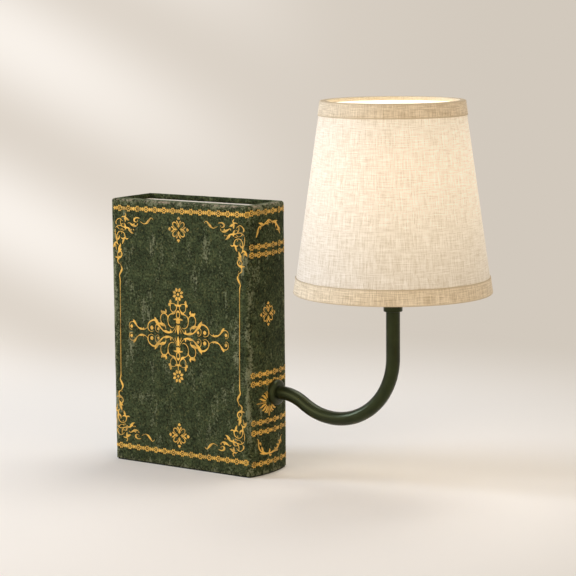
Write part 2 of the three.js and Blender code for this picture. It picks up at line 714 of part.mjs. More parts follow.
function armCollar() {
  return turnedRing([
    [TUBE_HOLE_RADIUS, -COLLAR_SKIRT],
    [COLLAR_RADIUS - COLLAR_CHAMFER, -COLLAR_SKIRT],
    [COLLAR_RADIUS, -COLLAR_SKIRT + COLLAR_CHAMFER],
    [COLLAR_RADIUS, COLLAR_TOP - COLLAR_CHAMFER],
    [COLLAR_RADIUS - COLLAR_CHAMFER, COLLAR_TOP],
    [NIPPLE_HOLE_RADIUS, COLLAR_TOP],
    [NIPPLE_HOLE_RADIUS, SEAT_GAP],
    [TUBE_HOLE_RADIUS, SEAT_GAP],
  ]);
}

// The lampholder's cap, with a hole in its side for the switch stem
function holderCap() {
  const rim = CAP_RADIUS - CAP_WALL;
  const foot = CAP_FOOT_RADIUS - CAP_WALL / 2;
  const cup = turnedRing([
    [NIPPLE_HOLE_RADIUS, CAP_BASE],
    [CAP_FOOT_RADIUS, CAP_BASE],
    [CAP_RADIUS, CAP_BASE + CAP_CONE_HEIGHT],
    [CAP_RADIUS, CAP_TOP],
    [rim, CAP_TOP],
    [rim, CAP_BASE + CAP_CONE_HEIGHT + CAP_WALL / 2],
    [foot, CAP_BASE + CAP_WALL],
    [NIPPLE_HOLE_RADIUS, CAP_BASE + CAP_WALL],
  ]);
  return cut(cup, [stemBore(STEM_RADIUS + SEAT_GAP, CAP_RADIUS / 2, CAP_RADIUS + OVERRUN)]);
}

// A round bore for the switch, from one distance to another out from the axis
function stemBore(radius, from, to) {
  return alongMinusY(bar(radius, from, to, SMALL_SIDES), 0, STEM_Z);
}

function holderInsulator() {
  const radius = SHELL_BORE_RADIUS - SEAT_GAP;
  const end = -ROTOR_LENGTH / 2 - 2 * SEAT_GAP;
  return cut(bar(radius, INSULATOR_BASE, INSULATOR_TOP), [
    stemBore(ROTOR_RADIUS + SEAT_GAP, end, radius + OVERRUN),
  ]);
}

function holderShell() {
  const spigot = CAP_RADIUS - CAP_WALL - SEAT_GAP;
  return turnedRing([
    [SHELL_BORE_RADIUS, CAP_TOP - SHELL_SPIGOT],
    [spigot, CAP_TOP - SHELL_SPIGOT],
    [spigot, CAP_TOP],
    [SHELL_THREAD_RADIUS, CAP_TOP],
    [SHELL_THREAD_RADIUS, SHELL_TOP],
    [SHELL_LIP_RADIUS, SHELL_TOP],
    [SHELL_LIP_RADIUS, SHELL_TOP - SHELL_LIP_THICKNESS],
    [SHELL_BORE_RADIUS, SHELL_TOP - SHELL_LIP_THICKNESS],
  ]);
}

// The threaded brass shell that the bulb screws into
function screwShell() {
  const inner = SCREW_SHELL_RADIUS - SCREW_SHELL_WALL;
  const top = SHELL_TOP - SHELL_LIP_THICKNESS - SEAT_GAP;
  return turnedRing([
    [SCREW_SHELL_HOLE_RADIUS, CONTACT_BASE],
    [SCREW_SHELL_RADIUS, CONTACT_BASE],
    [SCREW_SHELL_RADIUS, top],
    [inner, top],
    [inner, CONTACT_BASE + SCREW_SHELL_WALL],
    [SCREW_SHELL_HOLE_RADIUS, CONTACT_BASE + SCREW_SHELL_WALL],
  ]);
}

// The ring nut that clamps the shade's hub down on the cap
function shadeRing() {
  const bore = SHELL_THREAD_RADIUS + SEAT_GAP;
  return turnedRing([
    [bore, SHADE_RING_BASE],
    [SHADE_RING_RADIUS, SHADE_RING_BASE],
    [SHADE_RING_RADIUS, SHADE_RING_BASE + SHADE_RING_FLANGE],
    [SHADE_RING_NECK_RADIUS, SHADE_RING_BASE + SHADE_RING_FLANGE],
    [SHADE_RING_NECK_RADIUS, SHADE_RING_BASE + SHADE_RING_HEIGHT],
    [bore, SHADE_RING_BASE + SHADE_RING_HEIGHT],
  ]);
}

// The turn switch, each piece placed by its distance out from the lamp's axis
const KNOB_START = CAP_RADIUS + KNOB_STANDOFF;
const KNOB_END = KNOB_START + KNOB_LENGTH;

function switchStem() {
  const end = KNOB_END - KNOB_CLOSED_END - SEAT_GAP;
  return alongMinusY(bar(STEM_RADIUS, ROTOR_LENGTH / 2 + SEAT_GAP, end, SMALL_SIDES), 0, STEM_Z);
}

function switchRotor() {
  return alongMinusY(bar(ROTOR_RADIUS, -ROTOR_LENGTH / 2, ROTOR_LENGTH / 2, SMALL_SIDES), 0, STEM_Z);
}

// A fluted knob, closed at its outer end
function switchKnob() {
  const outline = new THREE.Shape();
  const steps = 4 * KNOB_FLUTES;
  for (let step = 0; step < steps; step += 1) {
    const angle = (step / steps) * 2 * Math.PI;
    const radius = KNOB_RADIUS - (KNOB_FLUTE_DEPTH / 2) * (1 - Math.cos(KNOB_FLUTES * angle));
    outline[step ? "lineTo" : "moveTo"](radius * Math.cos(angle), radius * Math.sin(angle));
  }
  const knob = prism(outline, KNOB_START, KNOB_END);
  const socket = bar(STEM_RADIUS + SEAT_GAP, KNOB_START - OVERRUN, KNOB_END - KNOB_CLOSED_END, SMALL_SIDES);
  return alongMinusY(cut(knob, [socket]), 0, STEM_Z);
}

// Half the section of the bulb's glass, from its top on the axis down to the foot of its neck
function glassProfile(inset) {
  const ball = BULB_RADIUS - inset;
  const centre = BULB_TOP - BULB_RADIUS;
  const neck = BULB_NECK_RADIUS - inset;
  const points = [];
  for (let step = 0; step <= BULB_STEPS; step += 1) {
    const angle = (BULB_SWEEP * step) / BULB_STEPS;
    points.push([step ? ball * Math.sin(angle) : 0, centre + ball * Math.cos(angle)]);
  }
  const start = new THREE.Vector2(...points.at(-1));
  const end = new THREE.Vector2(neck, BULB_CAP_TOP + BULB_NECK_RISE);
  const reach = (start.y - end.y) / 2;
  const first = new THREE.Vector2(
    start.x + reach * Math.cos(BULB_SWEEP),
    start.y - reach * Math.sin(BULB_SWEEP),
  );
  const second = new THREE.Vector2(end.x, end.y + reach);
  const shoulder = new THREE.CubicBezierCurve(start, first, second, end).getPoints(BULB_STEPS);
  points.push(...shoulder.slice(1).map((point) => [point.x, point.y]));
  points.push([neck, BULB_FOOT]);
  return points;
}

// The bulb's glass: closed at the top, open at the foot of its neck
function bulbGlass() {
  return turned([...glassProfile(0), ...glassProfile(BULB_GLASS_WALL).reverse()]);
}

function bulbCap() {
  const inner = BULB_CAP_RADIUS - BULB_CAP_WALL;
  const seat = BULB_INSULATOR_RADIUS;
  return turnedRing([
    [seat - BULB_TIP_HEIGHT, BULB_CAP_BASE],
    [seat, BULB_CAP_BASE],
    [BULB_CAP_RADIUS, BULB_CAP_BASE + BULB_TIP_HEIGHT],
    [BULB_CAP_RADIUS, BULB_CAP_TOP],
    [inner, BULB_CAP_TOP],
    [inner, BULB_CAP_BASE + BULB_TIP_HEIGHT + BULB_CAP_WALL],
    [seat - BULB_TIP_HEIGHT, BULB_CAP_BASE + BULB_CAP_WALL],
  ]);
}

function bulbInsulator() {
  return turned([
    [0, BULB_INSULATOR_BASE],
    [BULB_TIP_RADIUS + SEAT_GAP, BULB_INSULATOR_BASE],
    [BULB_INSULATOR_RADIUS, BULB_INSULATOR_BASE + BULB_INSULATOR_HEIGHT],
    [0, BULB_INSULATOR_BASE + BULB_INSULATOR_HEIGHT],
  ]);
}

// The glass stem inside the bulb, flared to the neck at its foot
function bulbStem() {
  const flare = BULB_NECK_RADIUS - BULB_GLASS_WALL - SEAT_GAP;
  const rim = BULB_GLASS_WALL;
  return turned(
    [
      [0, BULB_FOOT],
      [flare, BULB_FOOT],
      [flare, BULB_FOOT + rim],
      [BULB_STEM_RADIUS, BULB_FOOT + BULB_STEM_FLARE],
      [BULB_STEM_RADIUS, BULB_FOOT + BULB_STEM_HEIGHT],
      [0, BULB_FOOT + BULB_STEM_HEIGHT + rim],
    ],
    SMALL_SIDES,
  );
}

// Slim light sticks that lean out from the stem, joined by the ring of wire at their feet
function bulbFilaments() {
  const inner = BULB_STEM_RADIUS + SEAT_GAP;
  const low = BULB_FOOT + FILAMENT_RISE;
  const outer = inner + 2 * FILAMENT_RADIUS;
  const ring = sleeve(inner, outer, low - FILAMENT_RADIUS, low + FILAMENT_RADIUS, SMALL_SIDES);
  const sticks = Array.from({ length: FILAMENT_COUNT }, (_, index) => {
    const stick = bar(FILAMENT_RADIUS, 0, FILAMENT_LENGTH, SMALL_SIDES);
    stick.rotateY(FILAMENT_LEAN);
    stick.translate(inner + FILAMENT_RADIUS, 0, low);
    stick.rotateZ((index * 2 * Math.PI) / FILAMENT_COUNT);
    return stick;
  });
  return together([ring, ...sticks]);
}

// Radius of the linen's outer face at a height
function linenRadius(height) {
  const share = (height - SHADE_BASE) / SHADE_HEIGHT;
  return SHADE_BOTTOM_RADIUS - EDGE_COVER + (SHADE_TOP_RADIUS - SHADE_BOTTOM_RADIUS) * share;
}

function shadeFabric() {
  const low = SHADE_BASE + EDGE_COVER;
  const high = SHADE_END - EDGE_COVER;
  return turnedRing(
    [
      [linenRadius(low) - SHADE_WALL, low],
      [linenRadius(low), low],
      [linenRadius(high), high],
      [linenRadius(high) - SHADE_WALL, high],
    ],
    SHADE_SIDES,
  );
}

// Middle radius of a wire that lies against the inside of the linen at a height
const wireRadius = (height) => linenRadius(height) - SHADE_WALL - SEAT_GAP - WIRE_RADIUS;

// The tape at the top: down the outside, over the linen's edge and its wire, and down inside
function topBand() {
  const outer = (height) => linenRadius(height) + EDGE_COVER;
  const inner = wireRadius(TOP_WIRE_Z) - WIRE_RADIUS - SEAT_GAP - TAPE_THICKNESS;
  const low = SHADE_END - TOP_BAND_HEIGHT;
  const under = SHADE_END - TAPE_THICKNESS;
  return turnedRing(
    [
      [outer(low) - TAPE_THICKNESS, low],
      [outer(low), low],
      [outer(SHADE_END), SHADE_END],
      [inner, SHADE_END],
      [inner, SHADE_END - TOP_BAND_TURN_IN],
      [inner + TAPE_THICKNESS, SHADE_END - TOP_BAND_TURN_IN],
      [inner + TAPE_THICKNESS, under],
      [outer(under) - TAPE_THICKNESS, under],
    ],
    SHADE_SIDES,
  );
}

// The tape at the bottom: down the outside and under the linen's edge and its wire
function bottomBand() {
  const outer = (height) => linenRadius(height) + EDGE_COVER;
  const inner = wireRadius(BOTTOM_WIRE_Z) - WIRE_RADIUS;
  const high = SHADE_BASE + BOTTOM_BAND_HEIGHT;
  const over = SHADE_BASE + TAPE_THICKNESS;
  return turnedRing(
    [
      [inner, SHADE_BASE],
      [outer(SHADE_BASE), SHADE_BASE],
      [outer(high), high],
      [outer(high) - TAPE_THICKNESS, high],
      [outer(over) - TAPE_THICKNESS, over],
      [inner, over],
    ],
    SHADE_SIDES,
  );
}

function wireRing(height) {
  const middle = wireRadius(height);
  const section = Array.from({ length: WIRE_SIDES }, (_, index) => {
    const angle = (index * 2 * Math.PI) / WIRE_SIDES;
    return [middle + WIRE_RADIUS * Math.cos(angle), height + WIRE_RADIUS * Math.sin(angle)];
  });
  return turnedRing(section, SHADE_SIDES);
}

// The fitter, welded in one: the hub that sits on the lampholder, the spokes that fall from it, and
// the lower wire that they end on
const HUB_BORE_RADIUS = SHELL_THREAD_RADIUS + SEAT_GAP;
const HUB_RADIUS = HUB_BORE_RADIUS + HUB_WIDTH;

function shadeFitter() {
  const hub = sleeve(HUB_BORE_RADIUS, HUB_RADIUS, HUB_BASE, HUB_BASE + HUB_THICKNESS);
  const start = new THREE.Vector2(HUB_RADIUS - SPOKE_RADIUS, HUB_BASE + HUB_THICKNESS / 2);
  const end = new THREE.Vector2(wireRadius(BOTTOM_WIRE_Z), BOTTOM_WIRE_Z);
  const run = end.clone().sub(start);
  const spokes = Array.from({ length: SPOKE_COUNT }, (_, index) => {
    const spoke = bar(SPOKE_RADIUS, 0, run.length(), SMALL_SIDES);
    spoke.rotateY(Math.PI / 2 - run.angle());
    spoke.translate(start.x, 0, start.y);
    spoke.rotateZ((index * 2 * Math.PI) / SPOKE_COUNT);
    return spoke;
  });
  return together([hub, wireRing(BOTTOM_WIRE_Z), ...spokes]);
}

const book = new THREE.Group();
book.add(
  piece("cover_cloth", coverCloth(), "printedVelvet"),
  piece("front_board", wallBoard([-FAR_X, -FAR_Y], [FAR_X, -INNER_Y]), "fibreboard"),
  piece("back_board", wallBoard([-FAR_X, INNER_Y], [FAR_X, FAR_Y], [blockScrew(SEAT_GAP, 0)]), "fibreboard"),
  piece("spine_board", wallBoard([INNER_X, -SIDE_Y], [FAR_X, SIDE_Y], [nippleHole()]), "fibreboard"),
  piece("fore_edge_board", wallBoard([-FAR_X, -SIDE_Y], [-INNER_X, SIDE_Y], [bushingHole()]), "fibreboard"),
  piece("page_panel", innerBlock(SEAT_GAP, PAGE_Z - PAGE_PANEL_THICKNESS, PAGE_Z), "creamPaper"),
  piece("base_board", baseBoard(), "fibreboard"),
  piece("felt_pad", prism(bookOutline(FELT_INSET), 0, FELT_THICKNESS), "feltGreen"),
  ...CORNERS.map((corner, index) => piece(`glue_block_${index + 1}`, glueBlock(corner), "fibreboard")),
  ...CORNERS.map((corner, index) => piece(`base_screw_${index + 1}`, woodScrew(corner), "zincSteel")),
  piece("ballast_weight", ballastWeight(), "castIron"),
  ...ENDS.map((end, index) => piece(`ballast_screw_${index + 1}`, ballastScrew(end), "zincSteel")),
  piece("cord_bushing", cordBushing(), "blackPhenolic"),
  piece("bushing_nut", bushingNut(), "blackPhenolic"),
  piece("terminal_block", terminalBlock(), "whitePlastic"),
  ...CLAMPS.map((clamp, index) => piece(`clamp_screw_${index + 1}`, clampScrew(clamp), "brass")),
  piece("block_screw", blockScrew(), "zincSteel"),
);

const arm = new THREE.Group();
arm.add(
  piece("backing_plate", backingPlate(), "zincSteel"),
  piece("arm_flange", armFlange(), "darkPaint"),
  piece("arm_tube", armTube(), "darkPaint"),
  piece("arm_nipple", armNipple(), "zincSteel"),
  piece("arm_washer", alongX(washer(WASHER_X), ARM_OFFSET, ARM_HEIGHT), "zincSteel"),
  piece("arm_lock_nut", alongX(lockNut(LOCK_NUT_X), ARM_OFFSET, ARM_HEIGHT), "zincSteel"),
  piece("inner_lead", innerLead(), "leadSheath"),
);

const holderNipple = sleeve(NIPPLE_BORE_RADIUS, NIPPLE_RADIUS, -NIPPLE_ENGAGEMENT, TOP_NIPPLE_END);
const centreContact = bar(CONTACT_RADIUS, CONTACT_BASE, CONTACT_BASE + CONTACT_THICKNESS, SMALL_SIDES);
const bulbContact = bar(BULB_TIP_RADIUS, BULB_BASE, BULB_BASE + BULB_TIP_HEIGHT, SMALL_SIDES);

const holder = new THREE.Group();
holder.add(
  piece("arm_collar", armCollar(), "darkPaint"),
  piece("holder_nipple", holderNipple, "zincSteel"),
  piece("holder_cap", holderCap(), "blackPhenolic"),
  piece("holder_washer", washer(TOP_WASHER_Z), "zincSteel"),
  piece("holder_lock_nut", lockNut(TOP_NUT_Z), "zincSteel"),
  piece("holder_insulator", holderInsulator(), "blackPhenolic"),
  piece("holder_shell", holderShell(), "blackPhenolic"),
  piece("screw_shell", screwShell(), "brass"),
  piece("centre_contact", centreContact, "brass"),
  piece("shade_ring", shadeRing(), "blackPhenolic"),
);

const turnSwitch = new THREE.Group();
turnSwitch.add(
  piece("switch_stem", switchStem(), "brass"),
  piece("switch_rotor", switchRotor(), "brass"),
  piece("switch_knob", switchKnob(), "blackPhenolic"),
);

const bulb = new THREE.Group();
bulb.add(
  piece("bulb_contact", bulbContact, "zincSteel"),
  piece("bulb_insulator", bulbInsulator(), "blackPhenolic"),
  piece("bulb_cap", bulbCap(), "zincSteel"),
  piece("bulb_glass", bulbGlass(), "clearGlass"),
  piece("bulb_stem", bulbStem(), "clearGlass"),
  piece("bulb_filaments", bulbFilaments(), "filamentYellow"),
);

const shade = new THREE.Group();
shade.add(
  piece("shade_fabric", shadeFabric(), "linen"),
  piece("top_band", topBand(), "linenTape"),
  piece("bottom_band", bottomBand(), "linenTape"),
  piece("top_wire", wireRing(TOP_WIRE_Z), "whiteWire"),
  piece("shade_fitter", shadeFitter(), "whiteWire"),
);

// Everything on the lamp's axis is measured from the end of the tube
const lamp = new THREE.Group();
lamp.position.set(LAMP_X, ARM_OFFSET, ARM_TOP);
lamp.add(holder, turnSwitch, bulb, shade);

const bookendLamp = new THREE.Group();
bookendLamp.add(book, arm, lamp);

export default bookendLamp;
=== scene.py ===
# %% [markdown]
# # A lamp that holds up books
#
# The lamp is a weighted box dressed as an old cloth-bound book. A bent tube comes out of its spine
# and carries a lampholder, a bulb and a tapered linen shade. The CAD model gives every solid its
# true size and place, so this lesson only adds what the eye wants: velvet with a gold print, woven
# linen with light behind it, satin paint, glass and brass. The first lines load that model. Each
# new piece is made in the same frame, in metres, and rides on one of its bodies.

# %% Load the model
import math

import bmesh
import bpy
from mathutils import Matrix, Quaternion, Vector, noise


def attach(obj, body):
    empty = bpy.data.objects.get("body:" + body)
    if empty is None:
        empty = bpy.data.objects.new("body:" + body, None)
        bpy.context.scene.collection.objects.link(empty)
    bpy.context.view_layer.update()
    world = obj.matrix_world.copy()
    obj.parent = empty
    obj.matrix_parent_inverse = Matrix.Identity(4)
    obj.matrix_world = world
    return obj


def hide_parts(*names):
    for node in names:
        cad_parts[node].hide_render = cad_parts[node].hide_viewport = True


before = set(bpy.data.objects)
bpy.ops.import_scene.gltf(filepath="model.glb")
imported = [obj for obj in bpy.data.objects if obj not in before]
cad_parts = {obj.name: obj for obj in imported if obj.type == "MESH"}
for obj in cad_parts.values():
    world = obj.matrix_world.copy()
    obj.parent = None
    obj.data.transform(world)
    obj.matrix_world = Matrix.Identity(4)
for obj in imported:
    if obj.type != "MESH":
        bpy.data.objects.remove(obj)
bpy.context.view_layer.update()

MM = 0.001

# %% [markdown]
# ## The camera
#
# The photograph was taken from a little above the shade's rim, from the spine's side of the front
# cover. A long lens a good way off keeps the book's upright edges parallel. An azimuth and an
# elevation say where the camera stands better than three coordinates would, so its place is worked
# out from them.

# %% Place the camera
AZIMUTH = math.radians(34.11)
ELEVATION = math.radians(8.174)
LEAN = math.radians(-0.508)  # the picture is tilted by half a degree
DISTANCE = 1.9409
LOOK_AT = Vector((0.10227, 0.00018, 0.17693))
SENSOR_MM, LENS_MM = 36, 131.25

level = math.cos(ELEVATION)
outward = Vector((math.sin(AZIMUTH) * level, -math.cos(AZIMUTH) * level, math.sin(ELEVATION)))
camera = bpy.data.objects.new("camera", bpy.data.cameras.new("camera"))
camera.data.sensor_width = SENSOR_MM
camera.data.lens = LENS_MM
camera.location = LOOK_AT + outward * DISTANCE
camera.rotation_euler = (outward.to_track_quat("Z", "Y") @ Quaternion((0, 0, 1), LEAN)).to_euler()
bpy.context.collection.objects.link(camera)
bpy.context.scene.camera = camera
bpy.context.scene.view_settings.view_transform = "Standard"
print("camera at, m:", [round(value, 3) for value in camera.location])

# %% [markdown]
# ## Small tools for finishes
#
# A colour picked from a swatch is an sRGB hex value, but a shader wants linear numbers, so one
# function turns the first into the second. A finish is a tree of nodes, and one more function adds
# a node with its settings and links and hands back the output that is used next. Sizes in a finish
# are real ones: a noise texture's scale is one over the size of its grain.

# %% Colour and node helpers
COLOUR_MIX = {"data_type": "RGBA", "output": 2}  # makes a Mix node mix colours
FACTOR, UNDER, OVER = 0, 6, 7  # and these are the sockets that it then has


def linear(hex_colour):
    channels = [int(hex_colour[place : place + 2], 16) / 255 for place in (1, 3, 5)]
    return [c / 12.92 if c <= 0.04045 else ((c + 0.055) / 1.055) ** 2.4 for c in channels] + [1]


def feed(node, inputs):
    """Fills a node's sockets: an output is linked, a hex colour or a number is set on the socket."""
    for socket, value in inputs.items():
        if isinstance(value, bpy.types.NodeSocket):
            node.id_data.links.new(value, node.inputs[socket])
        else:
            node.inputs[socket].default_value = linear(value) if isinstance(value, str) else value


def add_node(tree, kind, inputs, stops=(), output=0, **settings):
    node = tree.nodes.new("ShaderNode" + kind)
    for name, value in settings.items():
        setattr(node, name, value)
    feed(node, inputs)
    for index, (place, colour) in enumerate(stops):
        ramp = node.color_ramp.elements
        element = ramp[index] if index < 2 else ramp.new(place)
        element.position = place
        element.color = linear(colour)
    return node.outputs[output]


def new_finish(name, inputs):
    """A new material whose shader has these plain inputs; its tree and its shader come with it."""
    material = bpy.data.materials.new(name)
    material.use_nodes = True
    tree = material.node_tree
    shader = tree.nodes["Principled BSDF"]
    feed(shader, inputs)
    return material, tree, shader


def grain(size_mm):
    return 1 / (size_mm * MM)


# %% [markdown]
# ## Floor, air and lamps
#
# A product picture like this one has a plain pale floor that runs back without an edge, and broad
# soft light. The floor is one large disc. Near the lamp it takes light and shadow; further off it is
# the warm grey of the room, with soft beams across it as from a window on the left. The lamps are
# large discs: a cool key from the left, a wide one in front, a warm fill from the right and one from
# above and behind. Two small ones at the bulb light the shade's inside and the floor below it.

# %% The room's colour
STANDING_BACK = 1.95  # the room's pattern shrinks with distance as seen from this far
ROOM_TURN = (0, 0, math.radians(-35))
BEAM_TURNS, BEAM_SLANT, BEAM_START = 18.04, 20.67, -0.05  # radians: how often, how steep, where
BEAM_MOST = 0.925
BEAM_FADE = (0.1, -0.216)  # from none at the right to whole at the left
WALL_FADE = (-0.172, 0.266)  # from the paler side to the darker


def room_colour(tree, nearness, side):
    """Soft beams over a warm grey. Both inputs are 0 far off; side grows to the right."""
    faded = []
    for low, high in (WALL_FADE, BEAM_FADE):
        fade = {"Value": side, "From Min": low, "From Max": high}
        faded.append(add_node(tree, "MapRange", fade, interpolation_type="SMOOTHSTEP"))
    wall = add_node(tree, "ValToRGB", {"Fac": faded[0]}, [(0, "#dfd6cb"), (1, "#d2c9bd")])
    steep = add_node(tree, "Math", {0: side, 1: -BEAM_SLANT}, operation="MULTIPLY")
    phase = {0: nearness, 1: BEAM_TURNS, 2: BEAM_START}
    phase = add_node(tree, "Math", phase, operation="MULTIPLY_ADD")
    phase = add_node(tree, "Math", {0: phase, 1: steep}, operation="ADD")
    wave = add_node(tree, "Math", {0: phase}, operation="COSINE")
    beam = add_node(tree, "MapRange", {"Value": wave, "From Min": -1, "To Max": BEAM_MOST})
    beam = add_node(tree, "Math", {0: beam, 1: faded[1]}, operation="MULTIPLY")
    return add_node(tree, "Mix", {FACTOR: beam, UNDER: wall, OVER: "#fbf4ec"}, **COLOUR_MIX)


def seen_directly(tree):
    """1 for rays that show the background itself: to the eye, in a reflection or through glass."""
    rays = tree.nodes.new("ShaderNodeLightPath").outputs
    seen = rays["Is Camera Ray"]
    for kind in ("Is Glossy Ray", "Is Transmission Ray"):
        seen = add_node(tree, "Math", {0: seen, 1: rays[kind]}, operation="MAXIMUM")
    return seen


# %% Floor
FLOOR_RADIUS = 120
FLOOR_NEAR, FLOOR_FAR = 0.28, 0.8  # the floor turns into the room between these distances

floor_mesh = bmesh.new()
bmesh.ops.create_circle(floor_mesh, cap_ends=True, radius=FLOOR_RADIUS, segments=96)
floor = bpy.data.objects.new("floor", bpy.data.meshes.new("floor"))
floor_mesh.to_mesh(floor.data)
floor_mesh.free()
bpy.context.collection.objects.link(floor)

floor_paint, tree, shader = new_finish(
    "matt studio floor", {"Base Color": "#f4ede3", "Roughness": 0.8, "Specular IOR Level": 0.1}
)
place = add_node(tree, "TexCoord", {}, output="Object")
reach = add_node(tree, "VectorMath", {0: place}, output="Value", operation="LENGTH")
far = {"Value": reach, "From Min": FLOOR_NEAR, "From Max": FLOOR_FAR}
far = add_node(tree, "MapRange", far, interpolation_type="SMOOTHSTEP")
far = add_node(tree, "Math", {0: far, 1: seen_directly(tree)}, operation="MULTIPLY")
room = add_node(tree, "Mapping", {"Vector": place, "Rotation": ROOM_TURN})
side = add_node(tree, "SeparateXYZ", {0: room}, output="X")
away = add_node(tree, "Math", {0: reach, 1: STANDING_BACK}, operation="ADD")
nearness = add_node(tree, "Math", {0: STANDING_BACK, 1: away}, operation="DIVIDE")
side = add_node(tree, "Math", {0: side, 1: nearness}, operation="MULTIPLY")
backdrop = add_node(tree, "Emission", {"Color": room_colour(tree, nearness, side), "Strength": 1})
ground = add_node(tree, "MixShader", {0: far, 1: shader.outputs[0], 2: backdrop})
feed(tree.nodes["Material Output"], {"Surface": ground})
floor.data.materials.append(floor_paint)

# %% Air
world = bpy.data.worlds.new("studio air")
bpy.context.scene.world = world
world.use_nodes = True
tree = world.node_tree
air = add_node(tree, "Background", {"Color": "#f1f1f1", "Strength": 0.34})
heading = {
    "Vector": add_node(tree, "TexCoord", {}, output="Generated"),
    "Rotation": ROOM_TURN,
    "Scale": (STANDING_BACK,) * 3,
}
side = add_node(tree, "SeparateXYZ", {0: add_node(tree, "Mapping", heading)}, output="X")
view = add_node(tree, "Background", {"Color": room_colour(tree, 0.0, side), "Strength": 1})
sky = add_node(tree, "MixShader", {0: seen_directly(tree), 1: air, 2: view})
feed(tree.nodes["World Output"], {"Surface": sky})
print("room:", floor_paint.name, "and", world.name)

# %% Lamps
MIDDLE = Vector((0.1, 0, 0.18))
LAMP_AXIS = Vector((212.639, 5, 0)) * MM  # the upright line that the bulb, holder and shade share


def add_lamp(name, kind, place, watts, colour, **settings):
    lamp = bpy.data.objects.new(name, bpy.data.lights.new(name, kind))
    lamp.data.energy = watts
    lamp.data.color = linear(colour)[:3]
    for setting, value in settings.items():
        setattr(lamp.data, setting, value)
    lamp.location = place
    bpy.context.collection.objects.link(lamp)
    return lamp


for name, place, size, watts, colour in (
    ("key", (-2.2, -1.1, 1.5), 1.0, 48, "#d9e7ff"),
    ("front", (-0.5, -2.5, 1.1), 1.8, 22, "#fff4e6"),
    ("fill", (2.2, -0.9, 0.9), 3, 19, "#ffdfb2"),
    ("top", (0.2, 0.9, 2.2), 1.4, 20, "#ffffff"),
):
    lamp = add_lamp(name, "AREA", place, watts, colour, shape="DISK", size=size)
    lamp.rotation_euler = (Vector(place) - MIDDLE).to_track_quat("Z", "Y").to_euler()

in_bulb = LAMP_AXIS + Vector((0, 0, 0.318))
glow = add_lamp("bulb_glow", "POINT", in_bulb, 0.05, "#ffe4b8", shadow_soft_size=0.025)
# the pool of light that the bulb throws through the shade's mouth on what stands below
under_bulb = LAMP_AXIS + Vector((0, 0, 0.3))
cone_of_light = {"spot_size": math.radians(64), "spot_blend": 0.7, "shadow_soft_size": 0.03}
pool = add_lamp("bulb_pool", "SPOT", under_bulb, 0.15, "#ffe2b8", **cone_of_light)
glow.visible_camera = pool.visible_camera = False
print("lamps:", [light.name for light in bpy.data.lights])

# %% [markdown]
# ## Tools for shapes
#
# Most of the small parts of a lamp are turned on a lathe, so a profile of radii and heights is spun
# round an axis. Sharp edges then get a fine bevel, because a knife edge never catches the light and
# a real one always does. A round bar along a line is a curve with a round bevel, made a mesh. The
# last function turns a bmesh into a piece: it sits at the origin with its place in its mesh, rides on
# a body, and may stand for a CAD node.

# %% Shape helpers
SHARP = math.radians(30)
WELD = 0.002 * MM  # points closer than this are one


def is_sharp(edge):
    return edge.is_manifold and edge.calc_face_angle() > SHARP


def round_off(mesh, edges, width_mm, segments, clamp=False):
    bmesh.ops.bevel(
        mesh,
        geom=edges,
        offset=width_mm * MM,
        segments=segments,
        profile=0.5,
        affect="EDGES",
        material=-1,
        clamp_overlap=clamp,
    )


def soften(mesh, width_mm, segments):
    round_off(mesh, [edge for edge in mesh.edges if is_sharp(edge)], width_mm, segments, True)


def spun(profile_mm, steps=96):
    """A closed profile of (radius, height) turned once round the upright axis."""
    mesh = bmesh.new()
    points = [mesh.verts.new((radius * MM, 0, height * MM)) for radius, height in profile_mm]
    edges = [mesh.edges.new(pair) for pair in zip(points, points[1:])]
    edges.append(mesh.edges.new((points[-1], points[0])))
    bmesh.ops.spin(
        mesh,
        geom=points + edges,
        axis=(0, 0, 1),
        cent=(0, 0, 0),
        angle=2 * math.pi,
        steps=steps,
        use_merge=True,
    )
    bmesh.ops.remove_doubles(mesh, verts=mesh.verts, dist=WELD)
    bmesh.ops.recalc_face_normals(mesh, faces=mesh.faces)
    return mesh


def move(mesh, turn=Matrix(), shift=(0, 0, 0)):
    bmesh.ops.transform(mesh, matrix=Matrix.Translation(shift) @ turn.to_4x4(), verts=mesh.verts)
    return mesh


def round_curve(name, radius, resolution):
    curve = bpy.data.curves.new(name, "CURVE")
    curve.dimensions = "3D"
    curve.bevel_depth = radius
    curve.bevel_resolution = resolution
    curve.use_fill_caps = True
    return curve


def curve_mesh(curve):
    holder = bpy.data.objects.new(curve.name, curve)
    bpy.context.collection.objects.link(holder)
    graph = bpy.context.evaluated_depsgraph_get()
    data = bpy.data.meshes.new_from_object(holder.evaluated_get(graph))
    bpy.data.objects.remove(holder)
    mesh = bmesh.new()
    mesh.from_mesh(data)
    bpy.data.meshes.remove(data)
    return mesh


def add_piece(name, mesh, finish, body, node=None):
    data = bpy.data.meshes.new(name)
    mesh.to_mesh(data)
    mesh.free()
    data.polygons.foreach_set("use_smooth", [True] * len(data.polygons))
    data.set_sharp_from_angle(angle=SHARP)
    data.materials.append(finish)
    item = bpy.data.objects.new(name, data)
    bpy.context.collection.objects.link(item)
    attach(item, body)
    if node:
        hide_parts(node)
    print(name, "-", len(data.polygons), "faces on", body)
    return item
